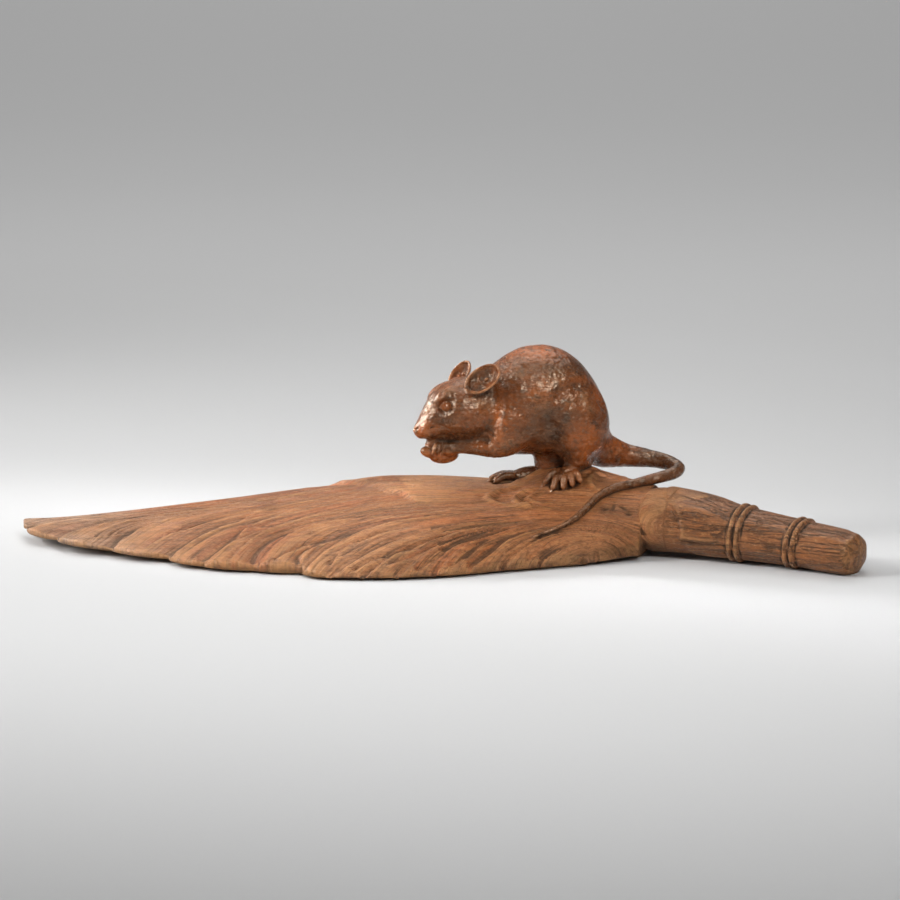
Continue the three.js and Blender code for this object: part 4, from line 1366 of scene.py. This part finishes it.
def brush_colour(s, at, g):
    """The wing is warm at its root, with a painted grey sheen at the feather tips, and dark, pale and hair-thin
    strokes.
    """
    # Painted sheen: the feather tips are painted grey as if glancing light lay on them
    tips = s.times(s.range(at.x, 90.0, 5.0, 0.12, 1.0), s.range(g.cloud, 0.35, 0.6, 0.4, 1.0))
    return s.paint(
        WOOD,
        (s.range(g.cloud, 0.35, 0.68), WOOD_LIGHT),
        (s.range(g.broad, 0.44, 0.62, 0.0, 0.85), WOOD_RED),
        (s.range(at.x, 130.0, 240.0, 0.0, 0.4), WOOD_WARM),
        (tips, PAINTED_SHEEN_GREY),
        (s.times(at.handle, 0.85), HANDLE_WOOD),
        (s.range(g.spots, 0.5, 0.75, 0.0, 0.4), WOOD_RED),
        (s.times(g.ring, 0.35), WOOD_DARK),
        (s.range(g.streak, 0.46, 0.68, 0.0, 0.62), WOOD_DARK),
        (s.times(s.range(g.barb, 0.5, 0.66), at.wing, 0.55), WOOD_DARK),
        (s.times(s.range(g.barb, 0.45, 0.3), at.wing, 0.42), WORN_AND_HIGHLIGHT),
        (s.times(g.thin, 0.6), DARK_LINE_AND_SHADE),
        (s.times(g.cracks, 0.6), DARK_LINE_AND_SHADE),
    )


def rat_colour(s, at, g):
    """The rat is darker wood with painted highlight and painted shade patches on its coat: its low rump and the nut
    are red, and its tail is greyer.
    """
    blotch = s.noise(at.plan, (0.05, 0.06, 0.06), 4.0, 0.6)
    mottle = s.noise(at.beast, (0.22, 0.26, 0.26), 4.0, 0.65)
    low_rump = s.times(s.range(at.up, 36.0, 12.0), s.range(at.forward, 4.0, -14.0))
    nut = s.times(s.range(at.up, 17.6, 15.6), s.range(at.forward, 40.0, 43.0))
    tail = s.most(s.range(at.forward, -30.0, -42.0), s.range(at.left, 22.5, 24.5))
    return s.paint(
        RAT_WOOD,
        (s.range(blotch, 0.35, 0.7), RAT_RED),
        (s.times(low_rump, 0.55), WOOD_RED),
        (s.times(nut, 0.8), WOOD_RED),
        (s.times(tail, 0.8), TAIL_WOOD),
        (s.times(g.ring, 0.3), WOOD_DARK),
        (s.range(g.streak, 0.46, 0.7, 0.0, 0.5), WOOD_DARK),
        (s.times(at.ember, s.range(mottle, 0.3, 0.6, 0.5, 1.0)), EMBER),
        # Painted highlight patches, broken up by the mottle
        (s.times(at.polish, s.range(mottle, 0.38, 0.6)), RAT_WORN_AND_HIGHLIGHT),
        (s.range(mottle, 0.5, 0.66, 0.0, 0.7), DARK_MOTTLE_AND_SHADE),
        # Painted shade patches under the cheek, the ear, the thigh and the tail root
        (s.times(at.stain, s.range(mottle, 0.25, 0.5, 0.6, 1.0)), DARK_MOTTLE_AND_SHADE),
    )


def painted_shade_in(s, at):
    """Painted shade in the hollows, between the toes and under the chest, and painted shadow in the cuts of the wing
    and along the shaded side of its edge.
    """
    fine = s.range(at.hollow, s.blend(at.wing, 0.04, 0.08), s.blend(at.wing, 0.2, 0.5))
    sheltered = s.range(at.shelter, 0.6, 0.85, 0.0, 0.8)
    painted_shade = s.most(fine, s.range(at.deep, 0.3, 1.5), s.range(at.nook, 0.56, 0.74), sheltered)
    painted_shade = s.times(painted_shade, s.blend(at.wing, 0.92, 0.7))
    # Painted shadow in the feather grooves and on the steep low sides of the wing's edges
    painted_shade = s.most(painted_shade, s.times(s.range(at.cut, 0.55, 1.7, 0.0, 0.66), at.wing), s.times(at.rim, 0.6))
    return s.times(painted_shade, s.less(1.0, at.eyeball))


def wear_and_highlight_on(s, at, g):
    """Edges and crowns painted pale, in patches: partly rubbed wood, partly painted highlight."""
    wear_and_highlight = s.most(s.range(at.hollow, -0.04, -0.2), s.range(at.nook, 0.4, 0.25))
    wear_and_highlight = s.most(wear_and_highlight, s.times(s.range(at.cut, -0.3, -1.2), at.wing))
    return s.times(wear_and_highlight, s.range(g.spots, 0.35, 0.6), s.blend(at.rat, 0.32, 0.6))


def roughness_of(s, at, g, painted_shade):
    rough = s.sum(s.blend(at.rat, 0.46, 0.27), (s.less(g.spots, 0.5), 0.35), (s.less(g.fleck, 0.5), 0.3))
    rough = s.sum(rough, (painted_shade, 0.3), clamp=True)
    rough = s.sum(rough, (s.times(at.polish, at.rat), -0.1))
    return s.blend(at.eyeball, rough, 0.12)


def relief_of(s, at, g):
    """Grain and strokes cut into the wood, and the marks of small chisels all over the rat's coat."""
    grain = s.sum(
        s.times(g.pore, s.blend(at.rat, -0.5, -0.2)),
        (g.streak, s.blend(at.rat, -0.6, -0.3)), (s.times(g.barb, at.wing), -2.2), (g.thin, -0.5), (g.cracks, -1.2),
    )
    tool = s.noise(at.beast, (0.2, 0.2, 0.2), 2.0, 0.55)
    chisel = s.noise(at.beast, (0.55, 0.75, 0.75), 3.0, 0.62)
    stipple = s.noise(at.beast, (1.5, 1.1, 1.6), 2.0, 0.6)
    coat = s.sum(s.times(tool, 2.2), (chisel, 0.4), (stipple, 0.12))
    coat = s.times(coat, s.less(at.rat, s.times(at.eye, 0.8)))
    height = s.maths("ADD", grain, coat)
    return s.add("ShaderNodeBump", {"Height": height, "Strength": RELIEF_STRENGTH, "Distance": RELIEF_DEPTH})


def wood():
    """Old oiled wood: fibres and year rings, knife strokes along the feathers, painted shade in the hollows, rubbed
    edges partly painted as highlights.
    """
    material = bpy.data.materials.new("carved_wood")
    s = Shader(material)
    at = point_values(s)
    g = grain_of(s, at)
    painted_shade = painted_shade_in(s, at)
    worn_and_highlight_wood = s.paint(WORN_AND_HIGHLIGHT, (at.rat, RAT_WORN_AND_HIGHLIGHT))
    base = s.paint(
        brush_colour(s, at, g),
        (at.rat, rat_colour(s, at, g)),
        (s.times(g.pore, 0.4), WOOD_DARK),
        (s.range(g.fleck, 0.52, 0.66, 0.0, 0.4), WOOD_DARK),
        (s.range(g.fleck, 0.45, 0.32, 0.0, 0.28), worn_and_highlight_wood),
        # Painted shade in hollows and under the rat, painted shadow in grooves and under edges
        (painted_shade, DARK_LINE_AND_SHADE),
        # Pale ridges and crowns: partly rubbed wood, partly painted highlight
        (wear_and_highlight_on(s, at, g), worn_and_highlight_wood),
        (s.times(at.eyeball, 0.6), RAT_RED),
    )
    s.shade(
        Base_Color=base, Roughness=roughness_of(s, at, g, painted_shade), Normal=relief_of(s, at, g).outputs[0],
        Specular_IOR_Level=GLOSS, Specular_Tint=GLOSS_TINT,
    )
    return material


carving.data.materials.append(wood())
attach(carving, "root")
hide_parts(NODE)


def plain_material(name, tint, roughness):
    material = bpy.data.materials.new(name)
    Shader(material).shade(Base_Color=tint, Roughness=roughness)
    return material


SWEEP_GREY = colour(205, 205, 205)


def backdrop():
    """A pale sweep: level under the carving, then curving up behind it."""
    front, back, radius, height, width = -3.0, 1.2, 5.0, 8.0, 14.0
    line = [(front, 0.0), (back, 0.0)]
    for angle in np.linspace(0, math.pi / 2, 25)[1:]:
        line.append((back + radius * math.sin(angle), radius * (1 - math.cos(angle))))
    line.append((back + radius, height))
    points = [(x, y, z) for x in (-width / 2, width / 2) for y, z in line]
    n = len(line)
    made = new_object("sweep", points, [[i, n + i, n + i + 1, i + 1] for i in range(n - 1)])
    made.data.shade_smooth()
    made.data.materials.append(plain_material("sweep", SWEEP_GREY, 0.9))


# Soft lights: where each stands and what it is aimed at, its width and height, in metres, its power and how many
# degrees its beam opens. The two from the left graze the snout and the back, and the last two light the backdrop.
LIGHTS = {
    "overhead": ((-0.02, -0.1, 0.9), (-0.02, -0.1, 0), (0.6, 0.2), 0.12, 50),
    "key": ((0.35, -0.9, 0.75), (0, 0, 0.05), (0.3, 0.3), 0.62, 50),
    "above": ((0.0, 0.25, 1.1), (0, 0.05, 0), (1.0, 0.5), 1.1, 180),
    "left": ((-1.1, -0.25, 0.6), (0, 0, 0.04), (0.35, 0.7), 2.3, 70),
    "left_behind": ((-0.9, 0.5, 0.5), (0, 0, 0.05), (0.3, 0.5), 0.5, 70),
    "rim": ((-0.6, 0.3, 0.36), (0.02, 0.01, 0.075), (0.1, 0.3), 0.14, 20),
    "right": ((0.9, -0.7, 0.9), (0, 0, 0.04), (0.35, 0.5), 0.25, 180),
    "floor_behind": ((0.0, 0.9, 1.6), (0, 0.9, 0), (2.0, 0.8), 2.3, 80),
    "far_wall": ((0.0, 2.2, 2.6), (0, 2.2, 0), (3.0, 1.5), 40.0, 180),
}
ROOM_LIGHT = 0.11


def softbox(name, place, target, size, power, spread):
    light = bpy.data.lights.new(name, "AREA")
    light.shape = "RECTANGLE"
    light.size, light.size_y = size
    light.energy = power
    light.spread = math.radians(spread)
    made = bpy.data.objects.new(name, light)
    made.location = place
    made.rotation_euler = (Vector(target) - Vector(place)).to_track_quat("-Z", "Y").to_euler()
    bpy.context.scene.collection.objects.link(made)


def studio():
    backdrop()
    for name, settings in LIGHTS.items():
        softbox(name, *settings)
    world = bpy.data.worlds.new("studio")
    world.use_nodes = True
    background = world.node_tree.nodes["Background"]
    background.inputs[0].default_value = (1, 1, 1, 1)
    background.inputs[1].default_value = ROOM_LIGHT
    bpy.context.scene.world = world
    bpy.context.scene.view_settings.view_transform = "Standard"


def camera():
    data = bpy.data.cameras.new("camera")
    data.lens = CAMERA_LENS
    data.sensor_width = 36
    data.clip_start, data.clip_end = 0.05, 50
    made = bpy.data.objects.new("camera", data)
    back = Vector((0, -math.cos(CAMERA_ELEVATION), math.sin(CAMERA_ELEVATION)))
    made.location = (CAMERA_TARGET + back * CAMERA_DISTANCE) / 1000
    made.rotation_euler = (-back).to_track_quat("-Z", "Y").to_euler()
    bpy.context.scene.collection.objects.link(made)
    bpy.context.scene.camera = made


camera()
studio()
